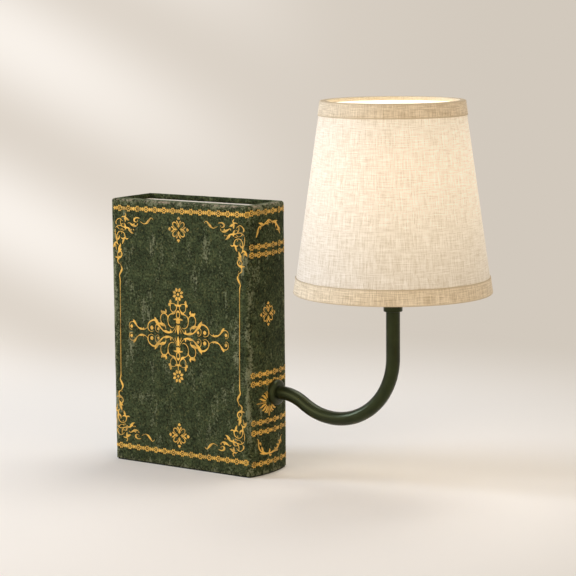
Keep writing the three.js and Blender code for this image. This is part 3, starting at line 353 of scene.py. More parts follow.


# %% [markdown]
# ## Printed velvet
#
# The book is covered in a cotton velvet that has been crushed and printed to look like worn old
# cloth. Its pile is dark olive green. Close up, the nap lies in tufts about a millimetre across with
# tan specks among them, and from further off there are soft blotches and pale upright streaks where
# the pile has gone. The tufts that are left break these streaks up. The cover carries two attributes:
# wear says how near an edge or a much-handled place a point is, and rub marks the outer edge of the
# rim, where the backing shows through. Sheen gives velvet its light edge.
# On the rim's upper side the wear is cut down, a painted shade against the light from above.

# %% Velvet finish
VELVET_TUFT = 2.2  # a little coarser than the real nap, so that it still shows from a step away
VELVET_SPECK = 2.6
VELVET_RUB = 5
VELVET_STREAK = 7
VELVET_BLOTCH = 11
NAP_HEIGHT = 0.25

velvet, tree, shader = new_finish(
    "crushed cotton velvet",
    {
        "Roughness": 0.92,
        "Specular IOR Level": 0.1,
        "Sheen Weight": 0.1,
        "Sheen Roughness": 0.4,
        "Sheen Tint": "#8f9674",
    },
)
place = add_node(tree, "TexCoord", {}, output="Object")
blotch = {"Vector": place, "Scale": grain(VELVET_BLOTCH), "Detail": 5, "Roughness": 0.62}
blotch = add_node(tree, "TexNoise", blotch)
greens = [(0.3, "#222919"), (0.72, "#40482e"), (0.5, "#313924")]
ground = add_node(tree, "ValToRGB", {"Fac": blotch}, greens)
tuft = {"Vector": place, "Scale": grain(VELVET_TUFT), "Detail": 3, "Roughness": 0.7}
tuft = add_node(tree, "TexNoise", tuft)
depth = {"Value": tuft, "From Min": 0.32, "From Max": 0.68, "To Min": 0.1, "To Max": 2}
depth = add_node(tree, "MapRange", depth)
pile = add_node(tree, "VectorMath", {0: ground, "Scale": depth}, operation="SCALE")

speck = {"Vector": place, "Scale": grain(VELVET_SPECK), "Detail": 2, "Roughness": 0.8}
speck = add_node(tree, "TexNoise", {**speck, "Distortion": 0.6})
speck = {"Value": speck, "From Min": 0.56, "From Max": 0.68, "To Max": 0.6}
speck = add_node(tree, "MapRange", speck)
pile = add_node(tree, "Mix", {FACTOR: speck, UNDER: pile, OVER: "#68673f"}, **COLOUR_MIX)

upright = add_node(tree, "Mapping", {"Vector": place, "Scale": (1, 1, 0.3)})
streak = {"Vector": upright, "Scale": grain(VELVET_STREAK), "Detail": 6, "Roughness": 0.68}
streak = add_node(tree, "TexNoise", streak)
wear = add_node(tree, "Attribute", {}, output="Fac", attribute_name="wear")
streak = add_node(tree, "Math", {0: wear, 1: 0.24, 2: streak}, operation="MULTIPLY_ADD")
streak = add_node(tree, "Math", {0: tuft, 1: 0.6, 2: streak}, operation="MULTIPLY_ADD")
streak = {"Value": streak, "From Min": 0.9, "From Max": 1.05, "To Max": 0.85}
streak = add_node(tree, "MapRange", streak)
worn = add_node(tree, "Mix", {FACTOR: streak, UNDER: pile, OVER: "#7b7e62"}, **COLOUR_MIX)

rub = add_node(tree, "Attribute", {}, output="Fac", attribute_name="rub")
bare = {"Vector": place, "Scale": grain(VELVET_RUB), "Detail": 4, "Roughness": 0.7}
bare = add_node(tree, "TexNoise", bare)
bare = {"Value": bare, "From Min": 0.47, "From Max": 0.6, "To Max": 0.85}
bare = add_node(tree, "MapRange", bare)
bare = add_node(tree, "Math", {0: bare, 1: rub}, operation="MULTIPLY")
worn = add_node(tree, "Mix", {FACTOR: bare, UNDER: worn, OVER: "#a0917b"}, **COLOUR_MIX)
nap = add_node(tree, "Bump", {"Height": tuft, "Distance": NAP_HEIGHT * MM, "Strength": 0.7})
feed(shader, {"Base Color": worn, "Normal": nap})
print("finish:", velvet.name, "with", len(tree.nodes), "nodes")

# %% [markdown]
# ## The cover
#
# The cover is one skin: up the outside of the box, over the rim and down to the page panel inside.
# A cube gives the flat sides. Its upright edges are bevelled, tighter at the fore-edge than at the
# spine, and planes cut the walls into small cells. The cells let the spine swell, let the edges
# waver a little as old cloth does, and hold the attributes for wear. The rim is the top edge drawn
# inwards and then down. It is padded, so its inner edge stands a little higher and its outer edge is
# well rounded. A solidify modifier gives the cloth its thickness.

# %% The box as a skin of small cells
HALF_WIDTH, HALF_DEPTH, COVER_FOOT, COVER_TOP = 80, 31, 1.5, 254
SPINE_BULGE = 3.5
SPINE_ROUND, FORE_ROUND = 5, 2.5
SPINE_REACH = HALF_DEPTH - SPINE_ROUND  # the swell runs this far to each side of its middle
CELL = 3.6
HOLE_HALF, HOLE_HEIGHT = 6, 62  # the square hole in the fore-edge that the cord's bushing fills
TOUCH = 0.1  # a point this close to a face counts as on it
LEVEL = 0.9  # a normal that is this upright belongs to a level face


def slice_at(mesh, axis, values_mm):
    normal = Vector((0, 0, 0))
    normal[axis] = 1
    for value in values_mm:
        everything = mesh.verts[:] + mesh.edges[:] + mesh.faces[:]
        bmesh.ops.bisect_plane(mesh, geom=everything, plane_co=normal * value * MM, plane_no=normal)


def steps_between(low, high):
    count = round((high - low) / CELL)
    return [low + (high - low) * index / count for index in range(1, count)]


def spine_corner(share):
    """The rounded edge from the front cover, at share 0, to where the spine's swell begins, at 1."""
    start = Vector((HALF_WIDTH - SPINE_ROUND, -HALF_DEPTH))
    knee = Vector((HALF_WIDTH - 2 * SPINE_BULGE * SPINE_ROUND / SPINE_REACH, -HALF_DEPTH))
    end = Vector((HALF_WIDTH, -SPINE_REACH))
    return start.lerp(knee, share).lerp(knee.lerp(end, share), share)


skin = bmesh.new()
bmesh.ops.create_cube(skin, size=1)
box_size = Vector((2 * HALF_WIDTH, 2 * HALF_DEPTH, COVER_TOP - COVER_FOOT)) * MM
move(skin, Matrix.Diagonal(box_size), (0, 0, (COVER_TOP + COVER_FOOT) / 2 * MM))
for side, width in ((1, SPINE_ROUND), (-1, FORE_ROUND)):
    uprights = [
        edge
        for edge in skin.edges
        if abs(edge.verts[0].co.z - edge.verts[1].co.z) > 1 * MM
        and all(vert.co.x * side > (HALF_WIDTH - TOUCH) * MM for vert in edge.verts)
        and all(abs(vert.co.y) > (HALF_DEPTH - TOUCH) * MM for vert in edge.verts)
    ]
    round_off(skin, uprights, width, 6)
lids = [face for face in skin.faces if abs(face.normal.z) > LEVEL]
bmesh.ops.delete(skin, geom=lids, context="FACES")
slice_at(skin, 0, steps_between(-HALF_WIDTH + FORE_ROUND, HALF_WIDTH - SPINE_ROUND))
slice_at(skin, 1, steps_between(-SPINE_REACH, SPINE_REACH) + [-HOLE_HALF, HOLE_HALF])
hole_ends = [HOLE_HEIGHT - HOLE_HALF, HOLE_HEIGHT + HOLE_HALF]
slice_at(skin, 2, steps_between(COVER_FOOT, COVER_TOP) + hole_ends)
around_cord = [
    face
    for face in skin.faces
    if face.calc_center_median().x < (1 - HALF_WIDTH) * MM
    and abs(face.calc_center_median().y) < HOLE_HALF * MM
    and abs(face.calc_center_median().z - HOLE_HEIGHT * MM) < HOLE_HALF * MM
]
bmesh.ops.delete(skin, geom=around_cord, context="FACES")
for vert in skin.verts:
    out, across = vert.co.x / MM - (HALF_WIDTH - SPINE_ROUND), abs(vert.co.y) / MM
    if across < SPINE_REACH and out > SPINE_ROUND - TOUCH:
        vert.co.x += SPINE_BULGE * (1 - (across / SPINE_REACH) ** 2) * MM
    elif across >= SPINE_REACH and out > TOUCH / 10:
        turn = math.atan2(out, across - SPINE_REACH) / (math.pi / 2)
        place = spine_corner(turn) * MM
        vert.co.x, vert.co.y = place.x, math.copysign(place.y, vert.co.y)
print("walls:", len(skin.faces), "faces")

# %% The padded rim
RIM_INSET, COVER_INSET = 5.3, 8  # how far the rim reaches inwards, at the ends and at the covers
RIM_CROWN = 0.7  # the padded rim is this much higher at its inner edge
RIM_DROP = 4.1
RIM_ROUND, INNER_ROUND, RIM_SEGMENTS = 2.2, 1, 4
RIM_WELD = 0.05  # the rim's corners fold onto one another, and points closer than this are one
OUTSIDE = 10  # a face that looks outwards lies further than this from the middle


def on_rim(edge):
    return all(vert.co.z > (COVER_TOP - TOUCH) * MM for vert in edge.verts)


def new_verts(result):
    return [item for item in result["geom"] if isinstance(item, bmesh.types.BMVert)]


def faces_out(edge):
    """True for an edge of the rim whose own faces look away from the book's middle."""
    pairs = [(face.normal, vert.co) for face in edge.link_faces for vert in edge.verts]
    return any(normal.x * co.x + normal.y * co.y > OUTSIDE * MM for normal, co in pairs)


rim = [edge for edge in skin.edges if on_rim(edge)]
inner = new_verts(bmesh.ops.extrude_edge_only(skin, edges=rim))
limit_x = (HALF_WIDTH - RIM_INSET) * MM
limit_y = (HALF_DEPTH - COVER_INSET) * MM
for vert in inner:
    vert.co.x = max(-limit_x, min(limit_x, vert.co.x))
    vert.co.y = max(-limit_y, min(limit_y, vert.co.y))
bmesh.ops.remove_doubles(skin, verts=inner, dist=RIM_WELD * MM)
inner_edge = [edge for edge in skin.edges if edge.is_boundary and on_rim(edge)]
for vert in new_verts(bmesh.ops.extrude_edge_only(skin, edges=inner_edge)):
    vert.co.z -= RIM_DROP * MM
for vert in inner:
    if vert.is_valid:
        vert.co.z += RIM_CROWN * MM
bmesh.ops.recalc_face_normals(skin, faces=skin.faces)
front = min(skin.faces, key=lambda face: face.calc_center_median().y)
if front.normal.y > 0:
    bmesh.ops.reverse_faces(skin, faces=skin.faces)
rim_edges = [edge for edge in skin.edges if on_rim(edge) and is_sharp(edge)]
outer_rim = [edge for edge in rim_edges if faces_out(edge)]
inner_rim = [edge for edge in rim_edges if not faces_out(edge)]
round_off(skin, outer_rim, RIM_ROUND, RIM_SEGMENTS)
round_off(skin, inner_rim, INNER_ROUND, RIM_SEGMENTS)
print("rim:", len(outer_rim), "outer and", len(inner_rim), "inner edges rounded")

# %% Wear
WEAR_REACH = 7  # wear fades out this far from an edge
# places on the front where hands have worn the nap: across, height, half width, half height, in mm,
# and how worn the middle is
WORN_PLACES = [
    (-43, 155, 5, 12, 0.7), (-62, 108, 4, 22, 0.65), (65, 114, 4, 18, 0.7), (53, 74, 6, 8, 0.6),
    (17, 181, 4, 10, 0.45), (42, 54, 5, 9, 0.45), (23, 94, 4, 8, 0.5), (-31, 207, 4, 14, 0.42),
    (-58, 194, 5, 12, 0.38), (31, 220, 5, 12, 0.22), (74, 205, 3, 30, 0.5),
]
RIM_TOP_SHADE_SHARE = 0.6  # painted shade: the rim's upper side keeps only this share of the pale wear, being lit most from above
RISING = 0.3  # cloth whose normal is this upright belongs to the rim's upper side
WORN_SKIN = 3  # the nap further inside the book than this is as new
RUB_INSIDE, RUB_BELOW = 1.6, 2  # the backing shows on the rim's outermost and highest millimetres
WAVES = ((14, 0.5), (5, 0.25))  # how long the cloth's waves are, and how high against each other
WAVE_LEAST, WAVE_MORE = 0.05, 0.4  # on new cloth, and how much is added where it is worn
CLOTH = 0.6


def edge_wear(point):
    x, y, z = (value / MM for value in point)
    corner = math.hypot(max(HALF_DEPTH - abs(y), 0), max(HALF_WIDTH - abs(x), 0))
    amount = max(0, 1 - min(corner, COVER_TOP - z, z) / WEAR_REACH)
    if y < 1 - HALF_DEPTH:
        for across, height, half_width, half_height, most in WORN_PLACES:
            away = math.hypot((x - across) / half_width, (z - height) / half_height)
            amount = max(amount, most * max(0, 1 - away / 2))
    return amount


wear_layer = skin.verts.layers.float.new("wear")
rub_layer = skin.verts.layers.float.new("rub")
skin.normal_update()
for vert in skin.verts:
    amount = edge_wear(vert.co)
    inside = min(HALF_DEPTH - abs(vert.co.y) / MM, HALF_WIDTH - abs(vert.co.x) / MM)
    on_top = vert.co.z > (COVER_TOP - RUB_BELOW) * MM
    # painted shade: less pale wear where the rim faces upwards
    if vert.normal.z > RISING:
        amount *= RIM_TOP_SHADE_SHARE
    vert[wear_layer] = amount if inside < WORN_SKIN or vert.normal.z > LEVEL else 0
    vert[rub_layer] = 1 if on_top and inside < RUB_INSIDE else 0
    waver = sum(noise.noise(vert.co * grain(length)) * height for length, height in WAVES)
    vert.co += vert.normal * waver * (WAVE_LEAST + WAVE_MORE * amount) * MM
cover = add_piece("velvet_cover", skin, velvet, "base", "cover_cloth")
thick = cover.modifiers.new("cloth thickness", "SOLIDIFY")
thick.thickness = CLOTH * MM
thick.offset = -1

# %% [markdown]
# ## Gold print
#
# The print is traditional bookbinder's ornament: chains of rosettes, scrolling leaves in the corners,
# small diamond-shaped flowers and a large arabesque. A binder draws all of these with a pen that
# swells and thins, so one stroke is a curve whose points carry a width. Strokes are listed once, in
# millimetres, and mirrored or turned for the rest. Each curve is made a mesh, pressed flat, and
# wrapped round the book's outline, so the print follows the rounded spine.

# %% Gold finish
GOLD_FLAKE, GOLD_TONE = 0.7, 9
FOIL_RELIEF = 0.08

gold, tree, shader = new_finish("worn gold foil print", {"Metallic": 0.1, "Roughness": 0.5})
place = add_node(tree, "TexCoord", {}, output="Object")
tone = {"Vector": place, "Scale": grain(GOLD_TONE), "Detail": 4, "Roughness": 0.65}
tone = add_node(tree, "TexNoise", tone)
golds = [(0.36, "#b08b3c"), (0.62, "#efbc4f"), (0.48, "#dcac46")]
leaf = add_node(tree, "ValToRGB", {"Fac": tone}, golds)
flake = {"Vector": place, "Scale": grain(GOLD_FLAKE), "Detail": 2, "Roughness": 0.7}
flake = add_node(tree, "TexNoise", flake)
lost = {"Value": flake, "From Min": 0.6, "From Max": 0.75, "To Max": 0.7}
lost = add_node(tree, "MapRange", lost)
printed = add_node(tree, "Mix", {FACTOR: lost, UNDER: leaf, OVER: "#6b5527"}, **COLOUR_MIX)
relief = {"Height": flake, "Distance": FOIL_RELIEF * MM, "Strength": 0.5}
feed(shader, {"Base Color": printed, "Normal": add_node(tree, "Bump", relief)})
print("finish:", gold.name, "with", len(tree.nodes), "nodes")

# %% Pen strokes
PRINT_LIFT = 0.1
PRINT_FLATTEN = 0.14
BLUR = 0.4  # widths were read off a soft picture, where a line looks this much wider than it is


class Pen:
    """Collects strokes on a flat page, in millimetres. lay(across, down) puts the page on the book."""

    def __init__(self, name, lay):
        self.lay = lay
        self.curve = round_curve(name, MM, 1)
        self.curve.resolution_u = 4

    def draw(self, points, place):
        spline = self.curve.splines.new("BEZIER")
        spline.bezier_points.add(len(points) - 1)
        spline.radius_interpolation = "CARDINAL" if len(points) > 2 else "LINEAR"
        for knot, (x, y, width) in zip(spline.bezier_points, points):
            u, v = self.lay(*place(x, y))
            knot.co = (u * MM, v * MM, 0)
            knot.radius = max(width - BLUR, BLUR) / 2
            knot.handle_left_type = knot.handle_right_type = "AUTO"

    def pressed(self, wrap):
        mesh = curve_mesh(self.curve)
        for vert in mesh.verts:
            u, v, lift = vert.co / MM
            vert.co = wrap(u, v, PRINT_LIFT + lift * PRINT_FLATTEN)
        bmesh.ops.recalc_face_normals(mesh, faces=mesh.faces)
        return mesh


def shifted(dx, dy, flip_x=1, flip_y=1):
    return lambda x, y: (dx + x * flip_x, dy + y * flip_y)


def turned_by(dx, dy, degrees, scale=1):
    cosine, sine = math.cos(math.radians(degrees)), math.sin(math.radians(degrees))
    return lambda x, y: (dx + scale * (x * cosine - y * sine), dy + scale * (x * sine + y * cosine))


# %% The way the print wraps the book
CORNER_STEPS, SPINE_STEPS = 6, 24


def outline_points():
    """The book's outline from above, once round, from where the front cover's flat starts."""
    front = [Vector((-HALF_WIDTH + FORE_ROUND, -HALF_DEPTH))]
    front += [spine_corner(step / CORNER_STEPS) for step in range(CORNER_STEPS)]
    path = front[:]
    for step in range(SPINE_STEPS + 1):
        share = 2 * step / SPINE_STEPS - 1
        path.append(Vector((HALF_WIDTH + SPINE_BULGE * (1 - share**2), share * SPINE_REACH)))
    path += [Vector((point.x, -point.y)) for point in reversed(front)]
    for side, first_step, turn in ((1, 1, math.pi / 2), (-1, 0, math.pi)):
        centre = Vector((-HALF_WIDTH + FORE_ROUND, side * (HALF_DEPTH - FORE_ROUND)))
        for step in range(first_step, CORNER_STEPS + 1):
            angle = turn + step / CORNER_STEPS * math.pi / 2
            path.append(centre + FORE_ROUND * Vector((math.cos(angle), math.sin(angle))))
    return path


OUTLINE = outline_points()
REACHES = [0]
for first, second in zip(OUTLINE, OUTLINE[1:]):
    REACHES.append(REACHES[-1] + (second - first).length)
AROUND = REACHES[-1]
NORMALS = []
for before, after in zip([OUTLINE[-2]] + OUTLINE, OUTLINE[1:] + [OUTLINE[1]]):
    run = (after - before).normalized()
    NORMALS.append(Vector((run.y, -run.x)))


def on_book(along, height, lift):
    """A place on the cloth, from the distance round the book, the height and the lift, in mm."""
    along = (along - FORE_ROUND) % AROUND  # the outline starts where the front cover's flat does
    index = max(i for i, reach in enumerate(REACHES[:-1]) if reach <= along)
    share = (along - REACHES[index]) / (REACHES[index + 1] - REACHES[index])
    point = OUTLINE[index].lerp(OUTLINE[index + 1], share)
    normal = NORMALS[index].lerp(NORMALS[index + 1], share).normalized()
    flat = point + normal * lift
    return Vector((flat.x, flat.y, height)) * MM


SPINE_MIDDLE = AROUND / 2 - HALF_DEPTH + (2 - math.pi / 2) * FORE_ROUND
spine_check = [round(value / MM, 2) for value in on_book(SPINE_MIDDLE, 0, 0)]
print("round the book, mm:", round(AROUND, 1), "middle of the spine at:", spine_check)

# %% Strokes of the ornament
PETAL = [(1.4, 0, 1.0), (2.3, 0, 1.9), (3.2, 0, 0.9)]
LINK = [(-2.6, 0, 1.3), (-1.5, 0, 1.1), (0, 0, 1.6), (1.5, 0, 1.1), (2.6, 0, 1.3)]
BEAD = [(0.6, 0, 1.0), (1.4, 0, 1.8), (2.3, 0, 0.9)]
DOT = [(-0.7, 0, 0.6), (-0.3, 0, 1.5), (0.3, 0, 1.5), (0.7, 0, 0.6)]

ARABESQUE = [
    # curls that carry the bud beside the flower's stem
    [(2.2, 29.9, 1.2), (4.6, 31.1, 0.9), (7, 31.3, 1.0), (8.9, 31.0, 1.6)],
    [(8.9, 31.0, 1.8), (8.9, 33.2, 2.9), (8.8, 35.0, 0.5)],
    [(8.9, 31.4, 1.8), (10.1, 29.8, 3.3), (11.0, 28.7, 0.9)],
    [(8.9, 30.0, 1.2), (9.1, 27.2, 1.0), (8.6, 24.9, 1.0), (7.3, 23.3, 1.1), (5.4, 22.2, 1.8)],
    # the loop beside the central oval
    [(1.7, 28.6, 1.3), (1.8, 26.6, 1.2), (3.0, 24.3, 1.4), (4.8, 22.1, 2.8), (7.0, 21.1, 1.7),
     (9.2, 20.3, 1.2), (11.1, 18.6, 1.4), (11.9, 16.4, 1.6), (12.0, 13.8, 1.0), (11.5, 11.3, 1.1),
     (10.4, 9.2, 1.2), (8.4, 7.7, 1.1), (6.2, 7.3, 0.9), (4.8, 8.0, 0.6)],
    [(11.9, 17.2, 1.6), (13.2, 19.2, 1.3), (14.9, 20.5, 1.4)],
    # leaf cluster and the curl under it
    [(13.6, 22.0, 1.2), (15.6, 21.5, 2.9), (17.7, 21.7, 3.3), (19.6, 22.6, 2.0), (19.4, 23.9, 0.6)],
    [(14.6, 21.8, 2.4), (14.2, 23.4, 2.4), (14.9, 25.2, 0.5)],
    [(18.3, 20.6, 1.5), (19.9, 18.6, 1.2), (20.6, 16.2, 1.2), (20.5, 13.6, 1.1), (19.6, 11.3, 1.4)],
    [(14.6, 5.2, 0.9), (14.6, 7.0, 1.2), (15.8, 8.7, 2.2), (18.0, 9.4, 3.4), (20.0, 10.0, 3.0),
     (22.3, 10.6, 1.2), (23.8, 10.6, 0.8)],
    # inner scroll: out of the middle, up to its pointed head, and round its ring
    [(6.9, 2.7, 0.8), (8.6, 3.4, 2.2), (8.6, 5.9, 0.7)],
    [(6.6, 2.6, 0.8), (9.6, 2.3, 1.9), (12.8, 2.4, 2.6), (14.6, 2.9, 3.0), (17.0, 3.2, 1.6),
     (19.3, 4.9, 1.7), (22.0, 7.6, 2.6), (24.6, 10.9, 3.6), (26.6, 13.9, 3.0), (27.6, 16.2, 0.6)],
    [(24.9, 11.6, 2.2), (27.6, 13.0, 2.2), (30.6, 12.6, 1.9), (33.4, 11.0, 1.7), (35.3, 8.6, 1.4),
     (35.9, 6.0, 1.5), (35.4, 3.6, 1.2), (33.7, 1.9, 0.8), (31.4, 1.4, 0.7), (29.4, 2.2, 0.5)],
    [(31.3, 3.2, 1.2), (31.2, 4.1, 3.4), (31.1, 6.0, 3.8), (31.0, 7.2, 1.4)],
    [(24.9, 9.4, 1.0), (26.4, 7.9, 1.0), (27.0, 5.6, 0.9), (26.4, 3.0, 0.8), (24.8, 1.5, 0.7),
     (22.8, 1.8, 0.5)],
    [(23.2, 3.1, 1.0), (23.3, 3.8, 2.7), (23.4, 5.2, 3.0), (23.5, 6.3, 1.2)],
    # outer scroll
    [(35.7, 6.2, 1.2), (37.4, 4.4, 0.8), (39.3, 3.3, 0.9), (41.6, 2.9, 1.8), (44.2, 3.1, 2.4),
     (46.3, 3.6, 1.7), (48.3, 4.9, 1.3), (50.1, 7.0, 1.9), (51.7, 9.2, 2.6), (53.4, 11.5, 1.6)],
    [(41.0, 3.2, 1.4), (41.2, 4.9, 0.8)],
    [(51.4, 8.9, 1.4), (54.0, 9.5, 1.2), (56.4, 9.0, 1.0), (57.9, 7.3, 0.9), (58.3, 5.1, 0.8),
     (57.8, 2.8, 0.7), (56.4, 1.6, 0.6), (54.8, 1.8, 0.4)],
    [(55.7, 3.1, 1.0), (55.6, 3.8, 2.9), (55.6, 5.4, 3.2), (55.6, 6.6, 1.2)],
    # side leaves of the palmette and of the cross-shaped flower
    [(0.9, 9.6, 0.7), (2.0, 6.4, 1.0), (3.2, 4.0, 1.0), (3.6, 2.0, 0.4)],
    [(1.2, 10.6, 0.6), (3.0, 7.6, 0.6), (4.9, 5.2, 0.6), (7.1, 3.0, 0.5)],
    [(0, 15.6, 2.6), (2.4, 15.9, 2.2), (5.2, 15.6, 1.5)],
    [(1.0, 14.8, 2.8), (1.4, 13.2, 2.4), (2.4, 12.0, 0.6)],
    [(0, 24.4, 1.5), (1.5, 22.9, 1.4), (1.9, 20.2, 1.2), (1.5, 17.4, 1.6)],
]

ARABESQUE_MIDDLE = [
    [(0, 34.6, 1.5), (0, 32.4, 1.2), (0, 30.2, 1.6)],
    [(-3.8, 29.6, 1.2), (-1.8, 29.5, 2.2), (1.8, 29.5, 2.2), (3.8, 29.6, 1.2)],
    [(0, 24.6, 0.9), (0, 23.2, 2.4), (0, 22.0, 1.0)],
    [(0, 17.8, 2.0), (0, 15.6, 3.4), (0, 13.4, 3.4), (0, 11.6, 2.2)],
    [(0, 10.2, 1.9), (0, 7.6, 2.3), (0, 4.8, 3.0), (0, 2.6, 2.2), (0, 0.9, 0.4)],
]

FLOWER_PETAL = [(2.7, 0, 1.4), (3.8, 0, 2.8), (5.2, 0, 2.8), (6.6, 0, 0.7)]
FLOWER_EYE = [(0, -1.4, 1.0), (0, -0.6, 2.8), (0, 0.6, 2.8), (0, 1.4, 1.0)]

# the upper right corner: across from the cover's middle, and down from the rim
CORNER = [
    # small leaf by itself, then the volute and the leaves that follow it
    [(30.0, 17.8, 0.5), (31.0, 16.5, 0.9), (32.4, 16.0, 1.1), (33.7, 17.0, 1.5), (34.8, 18.4, 2.3),
     (36.1, 19.7, 2.6), (37.3, 20.8, 2.4), (38.6, 21.6, 1.5), (40.2, 22.1, 1.0), (42.2, 21.6, 0.7),
     (45.0, 20.2, 0.4)],
    [(46.0, 17.1, 0.5), (48.0, 16.7, 1.3), (49.8, 16.6, 1.5), (51.4, 17.2, 1.9), (52.6, 18.6, 2.5),
     (52.2, 20.0, 2.0), (50.6, 20.7, 1.0), (49.2, 20.6, 0.8), (48.7, 19.6, 0.8), (49.0, 18.7, 0.6)],
    [(48.7, 22.0, 0.8), (48.7, 23.0, 1.2), (49.2, 24.0, 1.0)],
    [(49.6, 24.4, 0.9), (51.4, 24.7, 2.0), (53.0, 24.4, 2.7), (55.0, 23.8, 2.5), (56.8, 22.9, 1.7),
     (58.2, 22.0, 1.1), (59.6, 22.0, 1.0), (60.4, 23.2, 0.6)],
    [(53.1, 24.2, 2.6), (52.7, 22.0, 1.2)],
    [(64.0, 12.5, 1.0), (63.0, 13.6, 1.3), (62.5, 14.9, 1.3), (63.4, 16.0, 1.6), (64.4, 16.8, 1.8)],
    [(64.0, 16.4, 1.8), (65.8, 16.1, 1.3), (67.6, 16.8, 0.5)],
    [(64.0, 17.2, 2.2), (62.2, 17.9, 2.6), (60.4, 18.8, 2.2), (58.6, 19.4, 0.6)],
    [(63.6, 17.6, 2.4), (63.4, 19.4, 2.0), (63.2, 21.2, 1.4)],
    [(53.8, 31.8, 0.6), (55.4, 31.3, 1.7), (56.8, 30.2, 2.6), (58.2, 28.6, 2.9), (59.2, 27.2, 2.0),
     (60.8, 26.8, 1.8), (62.6, 26.6, 2.1), (64.6, 26.3, 1.6), (66.6, 25.8, 1.3), (68.8, 25.2, 1.2),
     (71.0, 25.0, 1.1), (72.8, 25.5, 1.1), (74.0, 26.3, 1.0), (75.2, 27.6, 0.5)],
    [(55.4, 27.8, 0.5), (56.4, 28.8, 1.2), (57.2, 29.8, 1.4)],
    [(63.0, 28.6, 1.3), (63.2, 26.6, 2.4), (63.5, 24.8, 2.1), (64.3, 23.3, 1.5), (65.4, 22.4, 0.6)],
    [(53.2, 27.7, 1.3), (53.6, 28.7, 1.5)],
    # thin scrolls in the very corner
    [(66.6, 20.9, 0.6), (67.9, 19.4, 0.9), (69.2, 18.5, 0.9), (71.2, 18.3, 1.0), (72.8, 19.2, 1.1),
     (74.0, 20.4, 1.2), (74.8, 22.0, 1.7), (74.6, 23.4, 1.4), (73.6, 24.0, 0.6)],
    [(69.2, 18.8, 0.8), (69.3, 21.4, 1.1), (68.9, 23.4, 1.1), (67.5, 25.0, 1.2)],
    [(65.6, 23.8, 0.5), (67.2, 22.9, 0.8), (68.4, 24.2, 1.0)],
    [(73.2, 25.8, 1.3), (72.2, 27.2, 1.1), (70.6, 28.3, 0.8), (68.0, 28.7, 0.8), (65.8, 29.3, 1.0),
     (64.4, 29.0, 0.5)],
    [(66.6, 27.4, 0.5), (67.9, 28.3, 0.9)],
    [(75.4, 28.6, 0.6), (75.8, 31.0, 1.1), (75.6, 33.6, 1.0), (75.1, 36.0, 0.9), (74.4, 38.0, 1.2)],
    [(63.6, 36.3, 1.7), (63.9, 34.4, 1.3), (64.6, 32.7, 1.2), (65.8, 31.4, 1.1), (67.6, 30.7, 1.1),
     (69.8, 30.6, 1.0), (71.4, 31.2, 1.2), (72.6, 32.5, 1.2), (73.4, 34.3, 1.3), (73.7, 36.4, 1.7),
     (73.5, 38.0, 2.2)],
    [(68.0, 31.4, 0.8), (67.8, 32.9, 1.2)],
    # leaves on the way down the side
    [(70.9, 34.2, 0.8), (70.5, 36.0, 1.4), (71.3, 37.4, 2.0), (72.8, 38.1, 2.2), (73.9, 38.3, 1.9)],
    [(73.6, 38.0, 2.2), (73.7, 40.0, 1.6), (73.2, 41.8, 1.2)],
    [(59.8, 36.7, 0.5), (61.2, 37.5, 1.4), (62.6, 37.3, 1.5), (63.9, 36.8, 2.1), (65.3, 37.4, 2.0),
     (66.8, 37.4, 1.6), (68.0, 37.0, 1.1), (68.4, 36.0, 0.5)],
    [(65.5, 37.6, 2.2), (65.9, 39.4, 2.5), (66.5, 41.0, 1.9), (67.2, 42.6, 0.5)],
    [(72.0, 43.8, 0.8), (73.2, 42.3, 1.6), (74.6, 41.7, 2.1), (76.0, 42.2, 2.1), (76.8, 43.7, 2.4),
     (77.3, 45.2, 2.1), (78.0, 46.4, 0.5)],
    [(75.4, 43.8, 1.8), (75.0, 45.4, 1.2), (74.6, 47.0, 1.0), (74.3, 48.6, 0.4)],
    [(69.2, 42.1, 0.7), (69.6, 43.8, 2.0), (70.4, 45.6, 2.9), (70.8, 47.4, 3.2), (70.9, 49.0, 2.9),
     (71.3, 50.6, 2.2), (71.8, 51.6, 0.8)],
    [(67.8, 47.5, 0.7), (69.2, 48.2, 1.8), (70.0, 48.9, 2.2)],
    [(69.5, 49.5, 1.8), (68.3, 50.8, 1.5), (67.7, 52.4, 1.6), (68.1, 54.0, 1.6), (69.3, 55.2, 2.0),
     (70.9, 55.8, 2.7), (72.7, 56.0, 2.5), (74.2, 55.9, 1.7), (75.8, 55.6, 0.5)],
    [(71.8, 50.6, 1.3), (72.6, 52.0, 1.0), (72.9, 53.4, 1.0), (72.3, 54.8, 1.4)],
    [(69.9, 52.0, 0.7), (70.1, 53.6, 0.8)],
    [(71.9, 56.6, 2.0), (72.7, 58.4, 1.6), (72.7, 60.0, 1.6), (71.9, 61.1, 1.4), (70.6, 62.0, 1.0),
     (69.4, 62.7, 0.9), (68.9, 64.0, 1.0), (68.1, 65.6, 1.6), (67.8, 67.2, 2.1), (68.6, 68.8, 2.5),
     (69.5, 70.4, 2.2), (70.5, 72.0, 1.7), (71.0, 73.6, 1.4), (70.5, 75.2, 1.4), (70.1, 77.0, 1.5)],
    [(68.8, 60.8, 0.9), (69.2, 61.4, 0.9)],
]

# a quarter of the diamond flower, from its middle towards the right and up
DIAMOND_LOOP = [(2.4, 1.0, 0.8), (4.4, 1.7, 0.9), (5.9, 2.9, 1.1), (6.7, 4.4, 1.3), (6.3, 6.2, 1.3),
                (4.6, 6.6, 1.3), (2.9, 5.9, 1.1), (1.7, 4.4, 0.9), (1.0, 2.4, 0.8)]
DIAMOND_LEAF = [(5.0, 0.4, 1.0), (6.4, 1.2, 1.4), (7.6, 2.0, 1.9), (8.4, 2.6, 0.6)]
DIAMOND_STEM = [(1.4, 0, 0.6), (2.8, 0, 1.4), (4.1, 0, 2.0), (5.4, 0, 1.3), (6.4, 0, 0.5)]
DIAMOND_TIP = [(9.2, 0, 1.4), (9.7, 0, 3.6), (10.6, 0, 3.6), (11.5, 0, 1.8), (12.2, 0, 0.6)]

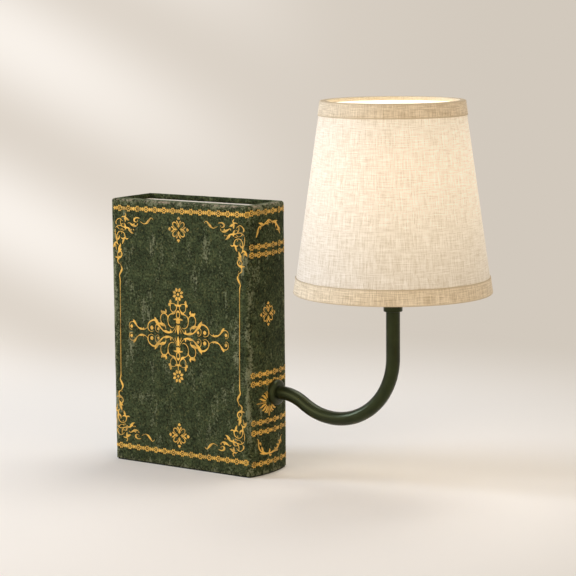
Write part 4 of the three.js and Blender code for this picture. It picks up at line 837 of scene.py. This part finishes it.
# on the spine: across from its middle, and down from the rim
SPINE_ARCH = [
    [(-20.6, 29.2, 1.4), (-19.6, 27.0, 1.7), (-18.6, 24.5, 2.8), (-17.8, 22.0, 2.2), (-16.5, 20.0, 1.8),
     (-14.0, 19.2, 1.5), (-11.0, 18.6, 1.8), (-8.5, 17.2, 1.8), (-6.0, 15.7, 1.5), (-3.4, 14.6, 2.2),
     (-0.5, 14.8, 1.6), (1.5, 16.2, 1.8), (4.5, 17.0, 2.2), (8.0, 17.6, 2.6), (10.6, 19.6, 2.4),
     (13.0, 22.0, 2.4), (14.6, 24.4, 2.9), (15.8, 27.0, 1.8), (17.6, 29.2, 0.7)],
    [(-17.2, 16.1, 0.5), (-15.0, 16.8, 2.2), (-12.6, 17.5, 2.7), (-10.4, 18.0, 1.2)],
    [(-15.0, 18.8, 1.2), (-14.5, 20.6, 1.9), (-14.8, 22.4, 0.6)],
    [(-3.6, 15.6, 1.6), (-4.2, 17.8, 2.1), (-4.0, 19.4, 0.9)],
    [(-3.8, 16.2, 1.2), (-6.0, 17.5, 1.5), (-8.0, 17.9, 0.5)],
    [(-3.0, 15.8, 1.2), (-1.4, 17.0, 1.4), (0.2, 17.2, 0.5)],
    [(12.4, 16.2, 0.5), (9.6, 16.6, 2.1), (6.0, 16.4, 1.8), (2.6, 16.4, 1.0)],
    [(8.6, 18.4, 1.7), (8.9, 20.4, 1.8), (8.6, 22.6, 0.5)],
    [(2.6, 17.2, 1.2), (3.4, 18.9, 0.6)],
    [(14.0, 24.6, 2.0), (11.6, 24.8, 1.4), (9.6, 24.2, 0.5)],
    [(14.6, 22.6, 1.4), (16.8, 24.2, 1.4), (17.8, 26.4, 0.5)],
]
SPINE_BOW = [
    [(-20.2, 219.2, 1.5), (-20.4, 222.0, 1.8), (-20.2, 225.0, 1.8), (-19.2, 227.8, 1.8),
     (-17.2, 230.4, 1.8), (-14.0, 232.0, 2.2), (-10.5, 233.6, 2.3), (-7.0, 233.8, 2.0),
     (-3.0, 234.0, 2.0), (0.0, 233.4, 2.2), (4.0, 232.8, 2.6), (8.0, 231.0, 2.9), (10.6, 228.8, 2.4),
     (12.8, 226.4, 2.6), (14.6, 223.6, 1.9), (15.4, 221.4, 0.9), (17.6, 220.6, 0.5)],
    [(-22.2, 218.2, 0.5), (-20.6, 219.0, 1.2)],
    [(-20.0, 222.2, 1.6), (-18.0, 222.8, 2.2), (-17.2, 225.0, 0.6)],
    [(-16.6, 226.2, 0.9), (-15.6, 228.2, 2.6), (-14.4, 230.8, 1.8)],
    [(-18.8, 232.2, 0.5), (-16.0, 232.9, 2.0), (-12.4, 233.6, 2.3)],
    [(-5.2, 229.8, 0.7), (-4.9, 231.6, 2.4), (-6.6, 233.2, 1.2)],
    [(-5.8, 234.6, 1.8), (-4.2, 236.3, 2.2), (-1.8, 236.0, 0.8)],
    [(2.8, 229.6, 0.7), (4.0, 231.6, 2.6)],
    [(6.2, 227.6, 0.6), (8.5, 228.4, 2.2), (10.0, 229.8, 2.0)],
    [(9.8, 224.6, 0.5), (11.6, 225.4, 2.2), (13.0, 226.2, 2.0)],
    [(13.8, 224.0, 1.6), (15.6, 226.2, 1.6), (15.0, 228.6, 0.5)],
    [(9.4, 233.8, 0.6), (6.6, 233.4, 2.2), (3.0, 233.2, 2.0)],
]
# a quarter of the spine's star, from its middle
SPINE_STAR = [
    [(4.0, 0, 1.2), (10.0, 0, 1.5), (15.0, 0, 1.9), (17.4, 0, 0.6)],
    [(4.6, 1.4, 1.4), (8.4, 2.4, 2.4), (11.2, 3.8, 1.8), (13.4, 4.2, 0.5)],
    [(3.6, 2.6, 1.4), (6.2, 5.0, 2.6), (8.8, 6.8, 2.0), (10.8, 7.0, 0.5)],
    [(2.6, 3.8, 1.4), (3.8, 6.8, 2.4), (5.6, 8.8, 1.6), (7.4, 8.8, 0.5)],
    [(1.4, 4.4, 1.2), (1.8, 7.8, 1.8), (3.4, 9.8, 1.4), (4.6, 9.6, 0.4)],
    [(0, 3.0, 1.8), (0, 7.4, 1.5), (0, 10.4, 2.7), (0, 13.4, 1.8)],
]
SIDE_LINE = [(70.1, 77, 1.5), (70.1, 84, 1.0), (70.1, 164, 1.0), (70.1, 171, 1.5)]
print("strokes:", len(ARABESQUE) * 4 + len(ARABESQUE_MIDDLE) * 2 + len(CORNER) * 4)

# %% Patterns that repeat
ARABESQUE_SQUEEZE = 0.965
FLOWER_OUT = 40.6
CHAIN_REACH, CHAIN_PITCH = 7, 10.55
LINK_SHIFT = 5.3  # from the middle of a rosette to the middle of its link


def draw_petals(pen, petal, across, down):
    for turn in range(8):
        pen.draw(petal, turned_by(across, down, turn * 45 + 22.5))


def draw_chain(pen, places, down, link_shift=LINK_SHIFT):
    """Rosettes of eight petals with a four-beaded link beside each one."""
    for across in places:
        draw_petals(pen, PETAL, across, down)
        pen.draw(DOT, shifted(across, down))
        pen.draw(LINK, shifted(across - link_shift, down))
        for bead in range(4):
            pen.draw(BEAD, turned_by(across - link_shift, down, bead * 90 + 45))


def draw_diamond(pen, across, down, scale=1):
    for turn in (0, 90, 180, 270):
        place = turned_by(across, down, turn, scale)
        for stroke in (DIAMOND_LOOP, DIAMOND_LEAF):
            pen.draw(stroke, place)
        pen.draw(DIAMOND_LEAF, lambda x, y: place(x, -y))
        for stroke in (DIAMOND_STEM, DIAMOND_TIP):
            pen.draw(stroke, place)


def draw_arabesque(pen, across, down):
    for up in (ARABESQUE_SQUEEZE, -ARABESQUE_SQUEEZE):
        for stroke in ARABESQUE:
            for side in (1, -1):
                pen.draw(stroke, shifted(across, down, side, up))
        for stroke in ARABESQUE_MIDDLE:
            pen.draw(stroke, shifted(across, down, 1, up))
        flower = down + up * FLOWER_OUT
        draw_petals(pen, FLOWER_PETAL, across, flower)
        pen.draw(FLOWER_EYE, shifted(across, flower))


# %% Print the four sides
PRINT_MIDDLE = 80.3  # from the fore-edge, at the height of the upper diamond
PRINT_SKEW = 0.0147  # the print leans on its board by this much per millimetre of height
SKEW_FROM = 25
PRINT_TILT = 0.0066  # and its upper chain rises by this much towards the spine
CORNER_SPAN = 247.7  # the lower corners are the upper ones mirrored, this far down
DIAMOND_DOWNS = (25.4, 222.4)
ARABESQUE_PLACE = (-1, 126.1)
COVER_CHAINS = ((3.9, 8.2), (3.4, 239.6))  # how far each is shifted across, and how far down it is
SPINE_CHAINS = (6.6, 38.0, 45.4, 157.7, 166.0, 202.8, 212.2, 242.0)
SPINE_ROSETTES = (-26, -17.4, -7.4, 4, 16.2, 27.2)
ARM_SIDE = -5  # the spine's flowers are in line with the arm
STAR_DOWN, SPINE_DIAMOND_DOWN, SPINE_DIAMOND_SCALE = 185, 101.8, 0.96
FORE_CHAINS = (8.1, 240.2)
FORE_MIDDLE = SPINE_MIDDLE + AROUND / 2


def draw_cover(pen):
    """One cover's print, across from the print's middle line."""
    for shift, down in COVER_CHAINS:
        reach = range(-CHAIN_REACH, CHAIN_REACH + 1)
        draw_chain(pen, [index * CHAIN_PITCH + shift for index in reach], down)
    for side in (1, -1):
        for stroke in CORNER:
            pen.draw(stroke, shifted(0, 0, side))
            pen.draw(stroke, shifted(0, CORNER_SPAN, side, -1))
        pen.draw(SIDE_LINE, shifted(0, 0, side))
    for down in DIAMOND_DOWNS:
        draw_diamond(pen, 0, down)
    draw_arabesque(pen, *ARABESQUE_PLACE)


def draw_spine(pen):
    for down in SPINE_CHAINS:
        draw_chain(pen, SPINE_ROSETTES, down, -LINK_SHIFT)
    for stroke in SPINE_ARCH + SPINE_BOW:
        pen.draw(stroke, shifted(0, 0))
    draw_diamond(pen, ARM_SIDE, SPINE_DIAMOND_DOWN, SPINE_DIAMOND_SCALE)
    for side in (1, -1):
        for up in (1, -1):
            for stroke in SPINE_STAR:
                pen.draw(stroke, shifted(ARM_SIDE, STAR_DOWN, side, up))


def draw_fore_edge(pen):
    for down in FORE_CHAINS:
        draw_chain(pen, [CHAIN_PITCH * index for index in range(-2, 3)], down)


def lay_on_cover(across, down):
    """The print sits a little askew on its board, as a hand-laid one does."""
    from_edge = PRINT_MIDDLE + across - PRINT_SKEW * (down - SKEW_FROM)
    rise = PRINT_TILT * across * (1 - down / COVER_TOP)
    return from_edge, COVER_TOP - down + rise


def lay_on_back(across, down):
    from_edge, height = lay_on_cover(across, down)
    return 2 * SPINE_MIDDLE - from_edge, height


def lay_about(middle):
    return lambda across, down: (middle + across, COVER_TOP - down)


for name, lay, draw in (
    ("front_print", lay_on_cover, draw_cover),
    ("spine_print", lay_about(SPINE_MIDDLE), draw_spine),
    ("back_print", lay_on_back, draw_cover),
    ("fore_edge_print", lay_about(FORE_MIDDLE), draw_fore_edge),
):
    pen = Pen(name, lay)
    draw(pen)
    add_piece(name, pen.pressed(on_book), gold, "base")

# %% [markdown]
# ## Painted arm
#
# The arm is steel tube in a satin paint that looks nearly black, with a little green where light
# catches it. A curve with a round bevel is the plain way to make a bent tube, and the same straight
# lead, two arcs and upright end that the CAD model has give it its line. The rose on the spine and
# the collar under the shade are turned parts in the same paint.

# %% Paint finish
PEEL_GRAIN, PAINT_CLOUD, PEEL_RELIEF = 1.4, 16, 0.06

paint, tree, shader = new_finish(
    "satin stove enamel", {"Specular IOR Level": 0.42, "Specular Tint": "#dcecaa"}
)
place = add_node(tree, "TexCoord", {}, output="Object")
peel = {"Vector": place, "Scale": grain(PEEL_GRAIN), "Detail": 3, "Roughness": 0.6}
cloud = add_node(tree, "TexNoise", {**peel, "Scale": grain(PAINT_CLOUD)})
peel = add_node(tree, "TexNoise", peel)
enamel = add_node(tree, "ValToRGB", {"Fac": cloud}, [(0.35, "#12150c"), (0.68, "#1f2513")])
dull = add_node(tree, "MapRange", {"Value": peel, "To Min": 0.28, "To Max": 0.38})
bump = add_node(tree, "Bump", {"Height": peel, "Distance": PEEL_RELIEF * MM, "Strength": 0.5})
feed(shader, {"Base Color": enamel, "Roughness": dull, "Normal": bump})
print("finish:", paint.name, "with", len(tree.nodes), "nodes")

# %% The line of the tube
TUBE_RADIUS = 6.35
ARM_Y, ARM_Z = 5, 76.5
ARM_ROOT = 5.5  # the tube starts this far out of the spine's flat, inside the rose
LEAD, DOWN_RADIUS, UP_RADIUS, DIP, ARM_END = 11.3, 43, 62.4, math.radians(34), 166.2
DOWN_STEPS, UP_STEPS = 12, 40
COLLAR_BEVEL = 0.6
ARM_X = LAMP_AXIS.x / MM


def arc(centre, radius, start, turn, steps):
    """Points on an arc, after its first. An angle of 0 is straight down and grows to the right."""
    angles = [start + turn * step / steps for step in range(1, steps + 1)]
    return [(centre[0] + radius * math.sin(a), centre[1] - radius * math.cos(a)) for a in angles]


bend_start = HALF_WIDTH + LEAD
arm_line = [(x, ARM_Z) for x in (HALF_WIDTH + ARM_ROOT, bend_start - 1, bend_start)]
arm_line += arc((bend_start, ARM_Z - DOWN_RADIUS), DOWN_RADIUS, math.pi, -DIP, DOWN_STEPS)
up_centre = (ARM_X - UP_RADIUS, arm_line[-1][1] + UP_RADIUS * math.cos(DIP))
arm_line += arc(up_centre, UP_RADIUS, -DIP, DIP + math.pi / 2, UP_STEPS)
arm_line += [(ARM_X, up_centre[1] + 1), (ARM_X, ARM_END)]
print("tube's line:", len(arm_line), "points")

# %% Tube, rose and collar
tube = round_curve("bent_tube", TUBE_RADIUS * MM, 10)
spline = tube.splines.new("POLY")
spline.points.add(len(arm_line) - 1)
for knot, (x, z) in zip(spline.points, arm_line):
    knot.co = (*(Vector((x, ARM_Y, z)) * MM), 1)
tube = curve_mesh(tube)
bmesh.ops.remove_doubles(tube, verts=tube.verts, dist=WELD)
bmesh.ops.recalc_face_normals(tube, faces=tube.faces)
add_piece("bent_tube", tube, paint, "base", "arm_tube")

dome = [(12, 85.9), (11.8, 86.8), (11.2, 87.7), (10.3, 88.4), (9.2, 88.8), (8, 89), (6.6, 89)]
rose = spun([(6.6, 81.4), (12, 81.4)] + dome)
move(rose, Matrix.Rotation(math.pi / 2, 3, "Y"), Vector((0, ARM_Y, ARM_Z)) * MM)
add_piece("arm_rose", rose, paint, "base", "arm_flange")
collar = spun([(6.5, 163.3), (8.6, 163.3), (8.6, 169.2), (5.3, 169.2), (5.3, 166.5), (6.5, 166.5)])
soften(collar, COLLAR_BEVEL, 3)
add_piece("tube_collar", move(collar, shift=LAMP_AXIS), paint, "base", "arm_collar")

# %% [markdown]
# ## Linen shade
#
# The shade is natural linen laminated to a stiff white liner, rolled into a cone and taped at both
# rims. Linen thread is uneven: it swells into slubs, and these run round the shade and up it, so the
# weave is drawn in the cone's own directions, an angle and a height. The threads are half a
# millimetre apart. Lit from inside, the cloth glows warm beside the bulb and less near the rims, and
# that glow is an emission that only depends on the height. Two layers at the tapes let less through,
# and along each fold and rim of a tape there is painted shade. The liner has a painted glow for the
# bulb's light on it. The upper tape is turned in over the wire.

# %% Linen finishes
THREAD = 0.55
WEFT_SLUB, WARP_SLUB = 1.7, 1.9  # how many threads wide a slub is
SLUB_STRETCH, DASH_STRETCH = 0.06, 0.12
DASH_WIDTH = 1.3  # the coarsest slubs are this wide and eight times as long
WEAVE_RELIEF = 0.12
# painted shade reaches this far, in mm, to each side of a tape's fold or rim
FOLD_SHADE_REACH = 2.0
SHADE_LOW, SHADE_HIGH = 180.6, 352.6
TAPE_LOW, TAPE_HIGH = 14.5, 13
SHADE_MEAN_RADIUS = 77
BULB_HEIGHT, GLOW_HALF = 0.295, 0.1  # the glow is down to half this far from the bulb's height


def linen_finish(name, pale, dark, glow_colour, glow_most, slub_depth, fold_shades_mm=()):
    material, tree, shader = new_finish(
        name,
        {
            "Emission Color": glow_colour,
            "Roughness": 0.9,
            "Specular IOR Level": 0.2,
            "Sheen Weight": 0.1,
        },
    )

    place = add_node(tree, "TexCoord", {}, output="Object")
    place = add_node(tree, "Mapping", {"Vector": place, "Location": -LAMP_AXIS})
    axes = add_node(tree, "SeparateXYZ", {0: place}).node.outputs
    angle = add_node(tree, "Math", {0: axes["Y"], 1: axes["X"]}, operation="ARCTAN2")
    across = add_node(tree, "Math", {0: angle, 1: SHADE_MEAN_RADIUS * MM}, operation="MULTIPLY")
    cloth = add_node(tree, "CombineXYZ", {"X": across, "Y": axes["Z"], "Z": 0.0})
    slubs = []
    for stretch, size_mm, detail, roughness in (
        ((SLUB_STRETCH, 1, 1), THREAD * WEFT_SLUB, 3, 0.75),
        ((1, SLUB_STRETCH, 1), THREAD * WARP_SLUB, 3, 0.75),
        ((1, DASH_STRETCH, 1), DASH_WIDTH, 2, 0.5),
    ):
        along = add_node(tree, "Mapping", {"Vector": cloth, "Scale": stretch})
        along = {"Vector": along, "Scale": grain(size_mm), "Detail": detail, "Roughness": roughness}
        slubs.append(add_node(tree, "TexNoise", along))
    weft, warp, dash = slubs
    threads = add_node(tree, "Math", {0: weft, 1: warp}, operation="ADD")
    slub_and_fold_shade = {"Value": threads, "From Min": 0.82, "From Max": 1.22, "To Max": slub_depth}
    slub_and_fold_shade = add_node(tree, "MapRange", slub_and_fold_shade)
    dash = {"Value": dash, "From Min": 0.6, "From Max": 0.72, "To Max": 0.6}
    darker = [add_node(tree, "MapRange", dash)]
    # painted shade: the tape is darker near each of its folds and rims, and this joins the slub mask
    for shaded_fold in fold_shades_mm:
        off = add_node(tree, "Math", {0: axes["Z"], 1: shaded_fold * MM}, operation="SUBTRACT")
        off = add_node(tree, "Math", {0: off}, operation="ABSOLUTE")
        near = {"Value": off, "From Max": FOLD_SHADE_REACH * MM, "To Min": 0.75, "To Max": 0}
        darker.append(add_node(tree, "MapRange", near))
    for mark in darker:
        slub_and_fold_shade = add_node(tree, "Math", {0: slub_and_fold_shade, 1: mark}, operation="MAXIMUM")
    colour = add_node(tree, "Mix", {FACTOR: slub_and_fold_shade, UNDER: pale, OVER: dark}, **COLOUR_MIX)
    fall = axes["Z"]
    for operation, value in (
        ("SUBTRACT", BULB_HEIGHT), ("DIVIDE", GLOW_HALF), ("POWER", 2.0), ("ADD", 1.0)
    ):
        fall = add_node(tree, "Math", {0: fall, 1: value}, operation=operation)
    lit = add_node(tree, "Math", {0: glow_most, 1: fall}, operation="DIVIDE")
    blocked = add_node(tree, "MapRange", {"Value": slub_and_fold_shade, "To Min": 1, "To Max": 0.55})
    lit = add_node(tree, "Math", {0: lit, 1: blocked}, operation="MULTIPLY")
    cross = {"Height": threads, "Distance": WEAVE_RELIEF * MM, "Strength": 0.6}
    cross = add_node(tree, "Bump", cross)
    feed(shader, {"Base Color": colour, "Emission Strength": lit, "Normal": cross})
    return material


# heights of the tapes' folds and rims, where painted shade lies
fold_shade_heights = (SHADE_LOW, SHADE_LOW + TAPE_LOW, SHADE_HIGH - TAPE_HIGH, SHADE_HIGH)
linen = linen_finish("natural linen", "#d0cdc9", "#97845f", "#ffe8c2", 0.57, 0.6)
tape = linen_finish("folded linen tape", "#f2e5cc", "#9c855c", "#ffb870", 0.06, 0.7, fold_shade_heights)
turned_tape = linen_finish("linen tape, turned in", "#ddd2ba", "#a8936e", "#ffe0b0", 0.03, 0.5)
# painted glow: the liner's emission stands for the bulb's light on the shade's inside
card_with_painted_glow = {"Base Color": "#fbf8f2", "Roughness": 0.6, "Emission Color": "#fff7ea"}
liner = new_finish("white shade liner, painted glow", {**card_with_painted_glow, "Emission Strength": 0.42})[0]
print("finishes:", ", ".join(finish.name for finish in (linen, tape, turned_tape, liner)))

# %% Shade cloth and tapes
SHADE_WIDE, SHADE_NARROW = 89.5, 64.8
SHADE_STEPS, CLOTH_ROWS = 180, 24
CLOTH_INSET = 0.8  # the cloth is this thick, this far under the tapes, and this far short of them
TAPE_ROUND = 0.6  # how far a tape's outer edge is rounded over
TAPE_THICK, FOLD_THICK = 0.55, 0.5  # of its outer side, and of the edge that is turned in
TURN_IN, TURN_SLOPE = 3.2, 0.4  # how far the upper tape reaches down inside, and slopes to get there
TOP_ROWS, LOW_ROWS = (9, 5, 2), (3, 7, 11)  # the tapes' rows of points, from each rim
TAPE_BEVEL = 0.2
TOP_INSIDE, LOW_INSIDE = 5.7, 4.9  # from a rim's outside to its tape's inner edge


def shade_radius(height, inset=0.0):
    slope = (SHADE_NARROW - SHADE_WIDE) / (SHADE_HIGH - SHADE_LOW)
    return SHADE_WIDE + slope * (height - SHADE_LOW) - inset


def on_shade(heights, inset=0.0):
    return [(shade_radius(height, inset), height) for height in heights]


def add_lining(item, finish, least=0.0):
    """Gives the faces that look inwards, by more than least, a finish of their own."""
    item.data.materials.append(finish)
    for face in item.data.polygons:
        middle = face.center - LAMP_AXIS
        if face.normal.x * middle.x + face.normal.y * middle.y < -least * middle.xy.length:
            face.material_index = 1


def tape_ring(name, profile, node):
    ring = spun(profile, SHADE_STEPS)
    soften(ring, TAPE_BEVEL, 2)
    return add_piece(name, move(ring, shift=LAMP_AXIS), tape, "shade", node)


cloth_low, cloth_rise = SHADE_LOW + CLOTH_INSET, SHADE_HIGH - SHADE_LOW - 2 * CLOTH_INSET
heights = [cloth_low + cloth_rise * row / CLOTH_ROWS for row in range(CLOTH_ROWS + 1)]
inside = on_shade(reversed(heights), 2 * CLOTH_INSET)
cone = spun(on_shade(heights, CLOTH_INSET) + inside, SHADE_STEPS)
shade = add_piece("linen_shade", move(cone, shift=LAMP_AXIS), linen, "shade", "shade_fabric")
add_lining(shade, liner)

top_low, under_top = SHADE_HIGH - TAPE_HIGH, SHADE_HIGH - FOLD_THICK
top_inner = shade_radius(SHADE_HIGH, TOP_INSIDE)
top_tape = tape_ring(
    "top_tape",
    on_shade([top_low], TAPE_THICK)
    + on_shade([top_low] + [SHADE_HIGH - drop for drop in (*TOP_ROWS, TAPE_ROUND)])
    + on_shade([SHADE_HIGH], TAPE_ROUND)
    + [
        (top_inner + TURN_SLOPE, SHADE_HIGH),
        (top_inner, under_top),
        (top_inner, SHADE_HIGH - TURN_IN),
        (top_inner + FOLD_THICK, SHADE_HIGH - TURN_IN),
        (top_inner + FOLD_THICK, under_top),
    ]
    + on_shade([under_top], TAPE_THICK),
    "top_band",
)
add_lining(top_tape, turned_tape, 0.5)
low_high, over_low = SHADE_LOW + TAPE_LOW, SHADE_LOW + FOLD_THICK
low_inner = shade_radius(SHADE_LOW, LOW_INSIDE)
bottom_tape = tape_ring(
    "bottom_tape",
    [(low_inner, SHADE_LOW)]
    + on_shade([SHADE_LOW], TAPE_ROUND)
    + on_shade([SHADE_LOW + rise for rise in (TAPE_ROUND, *LOW_ROWS)] + [low_high])
    + on_shade([low_high, over_low], TAPE_THICK)
    + [(low_inner, over_low)],
    "bottom_band",
)

# %% [markdown]
# ## Plain finishes
#
# The rest of the lamp is seen through the shade's open ends, or is hidden inside the book. Each part
# still gets the finish that its real material has: moulded phenolic, zinc plate, brass, enamelled
# wire, card, felt, fibreboard, cast iron and glass. One function makes them, because they differ only
# in their two tones, their grain and how they shine.

# %% Plain finishes
ROUGH_SPREAD = 0.08


def plain_finish(name, light, dark, size_mm, roughness, metallic=0.0, bump_mm=0.03, stretch=(1, 1, 1)):
    material, tree, shader = new_finish(name, {"Metallic": metallic})
    place = add_node(tree, "TexCoord", {}, output="Object")
    place = add_node(tree, "Mapping", {"Vector": place, "Scale": stretch})
    fleck = {"Vector": place, "Scale": grain(size_mm), "Detail": 4, "Roughness": 0.6}
    fleck = add_node(tree, "TexNoise", fleck)
    colour = add_node(tree, "ValToRGB", {"Fac": fleck}, [(0.32, dark), (0.68, light)])
    rough = {"To Min": roughness - ROUGH_SPREAD, "To Max": roughness + ROUGH_SPREAD}
    rough = add_node(tree, "MapRange", {"Value": fleck, **rough})
    relief = add_node(tree, "Bump", {"Height": fleck, "Distance": bump_mm * MM, "Strength": 0.6})
    feed(shader, {"Base Color": colour, "Roughness": rough, "Normal": relief})
    return material


phenolic = plain_finish("black phenolic moulding", "#1d1a16", "#12100d", 6, 0.32, bump_mm=0.01)
zinc = plain_finish("zinc-plated steel", "#c3c6ca", "#a3a6aa", 3, 0.36, 1.0)
brass = plain_finish("turned brass", "#d3ad58", "#b38c3c", 4, 0.3, 1.0)
white_wire = plain_finish("white enamelled wire", "#efede8", "#e2dfd8", 5, 0.35)
PAGES = (0.04, 1, 1)  # the grain is drawn out along the page edges
card = plain_finish("cream card with page edges", "#f3ebdc", "#d9cdb6", 0.9, 0.85, 0.0, 0.15, PAGES)
felt = plain_finish("dark felt", "#2a3123", "#171b13", 0.8, 0.97, 0.0, 0.2)
fibreboard = plain_finish("fibreboard", "#b8946b", "#96764f", 1.6, 0.88, 0.0, 0.1)
cast_iron = plain_finish("cast iron", "#57575a", "#3a3a3c", 2.2, 0.68, 0.9, 0.2)
nylon = plain_finish("natural nylon", "#eceae2", "#dedbd0", 4, 0.5)
sheath = plain_finish("lead sheath", "#dfdcd3", "#cfcbc0", 4, 0.6)

blown = {"Base Color": "#fbfaf5", "Roughness": 0.02, "Transmission Weight": 1, "IOR": 1.5}
glass = new_finish("blown soda glass", blown)[0]
coated = {"Base Color": "#f4c45a", "Roughness": 0.5, "Emission Color": "#ffd28a"}
phosphor = new_finish("filament phosphor", {**coated, "Emission Strength": 5})[0]

# %% Give every solid its finish
FINISH_OF = {  # by the start of a solid's name
    phenolic: "cord_bushing bushing_nut holder_cap holder_insulator holder_shell shade_ring "
    "switch_knob bulb_insulator",
    zinc: "base_screw ballast_screw block_screw backing_plate arm_nipple arm_washer arm_lock_nut "
    "holder_nipple holder_washer holder_lock_nut bulb_cap bulb_contact",
    brass: "clamp_screw screw_shell centre_contact switch_stem switch_rotor",
    white_wire: "top_wire shade_fitter",
    card: "page_panel",
    felt: "felt_pad",
    fibreboard: "front_board back_board spine_board fore_edge_board base_board glue_block",
    cast_iron: "ballast_weight",
    nylon: "terminal_block",
    sheath: "inner_lead",
    glass: "bulb_glass bulb_stem",
    phosphor: "bulb_filaments",
    paint: "arm_tube arm_flange arm_collar",
    velvet: "cover_cloth",
    linen: "shade_fabric",
    tape: "top_band bottom_band",
}
finished = 0
for finish, starts in FINISH_OF.items():
    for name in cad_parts:
        if name.startswith(tuple(starts.split())):
            finished += 1
            for material_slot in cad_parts[name].material_slots:
                material_slot.material = finish
print("finished nodes:", finished, "of", len(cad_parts))
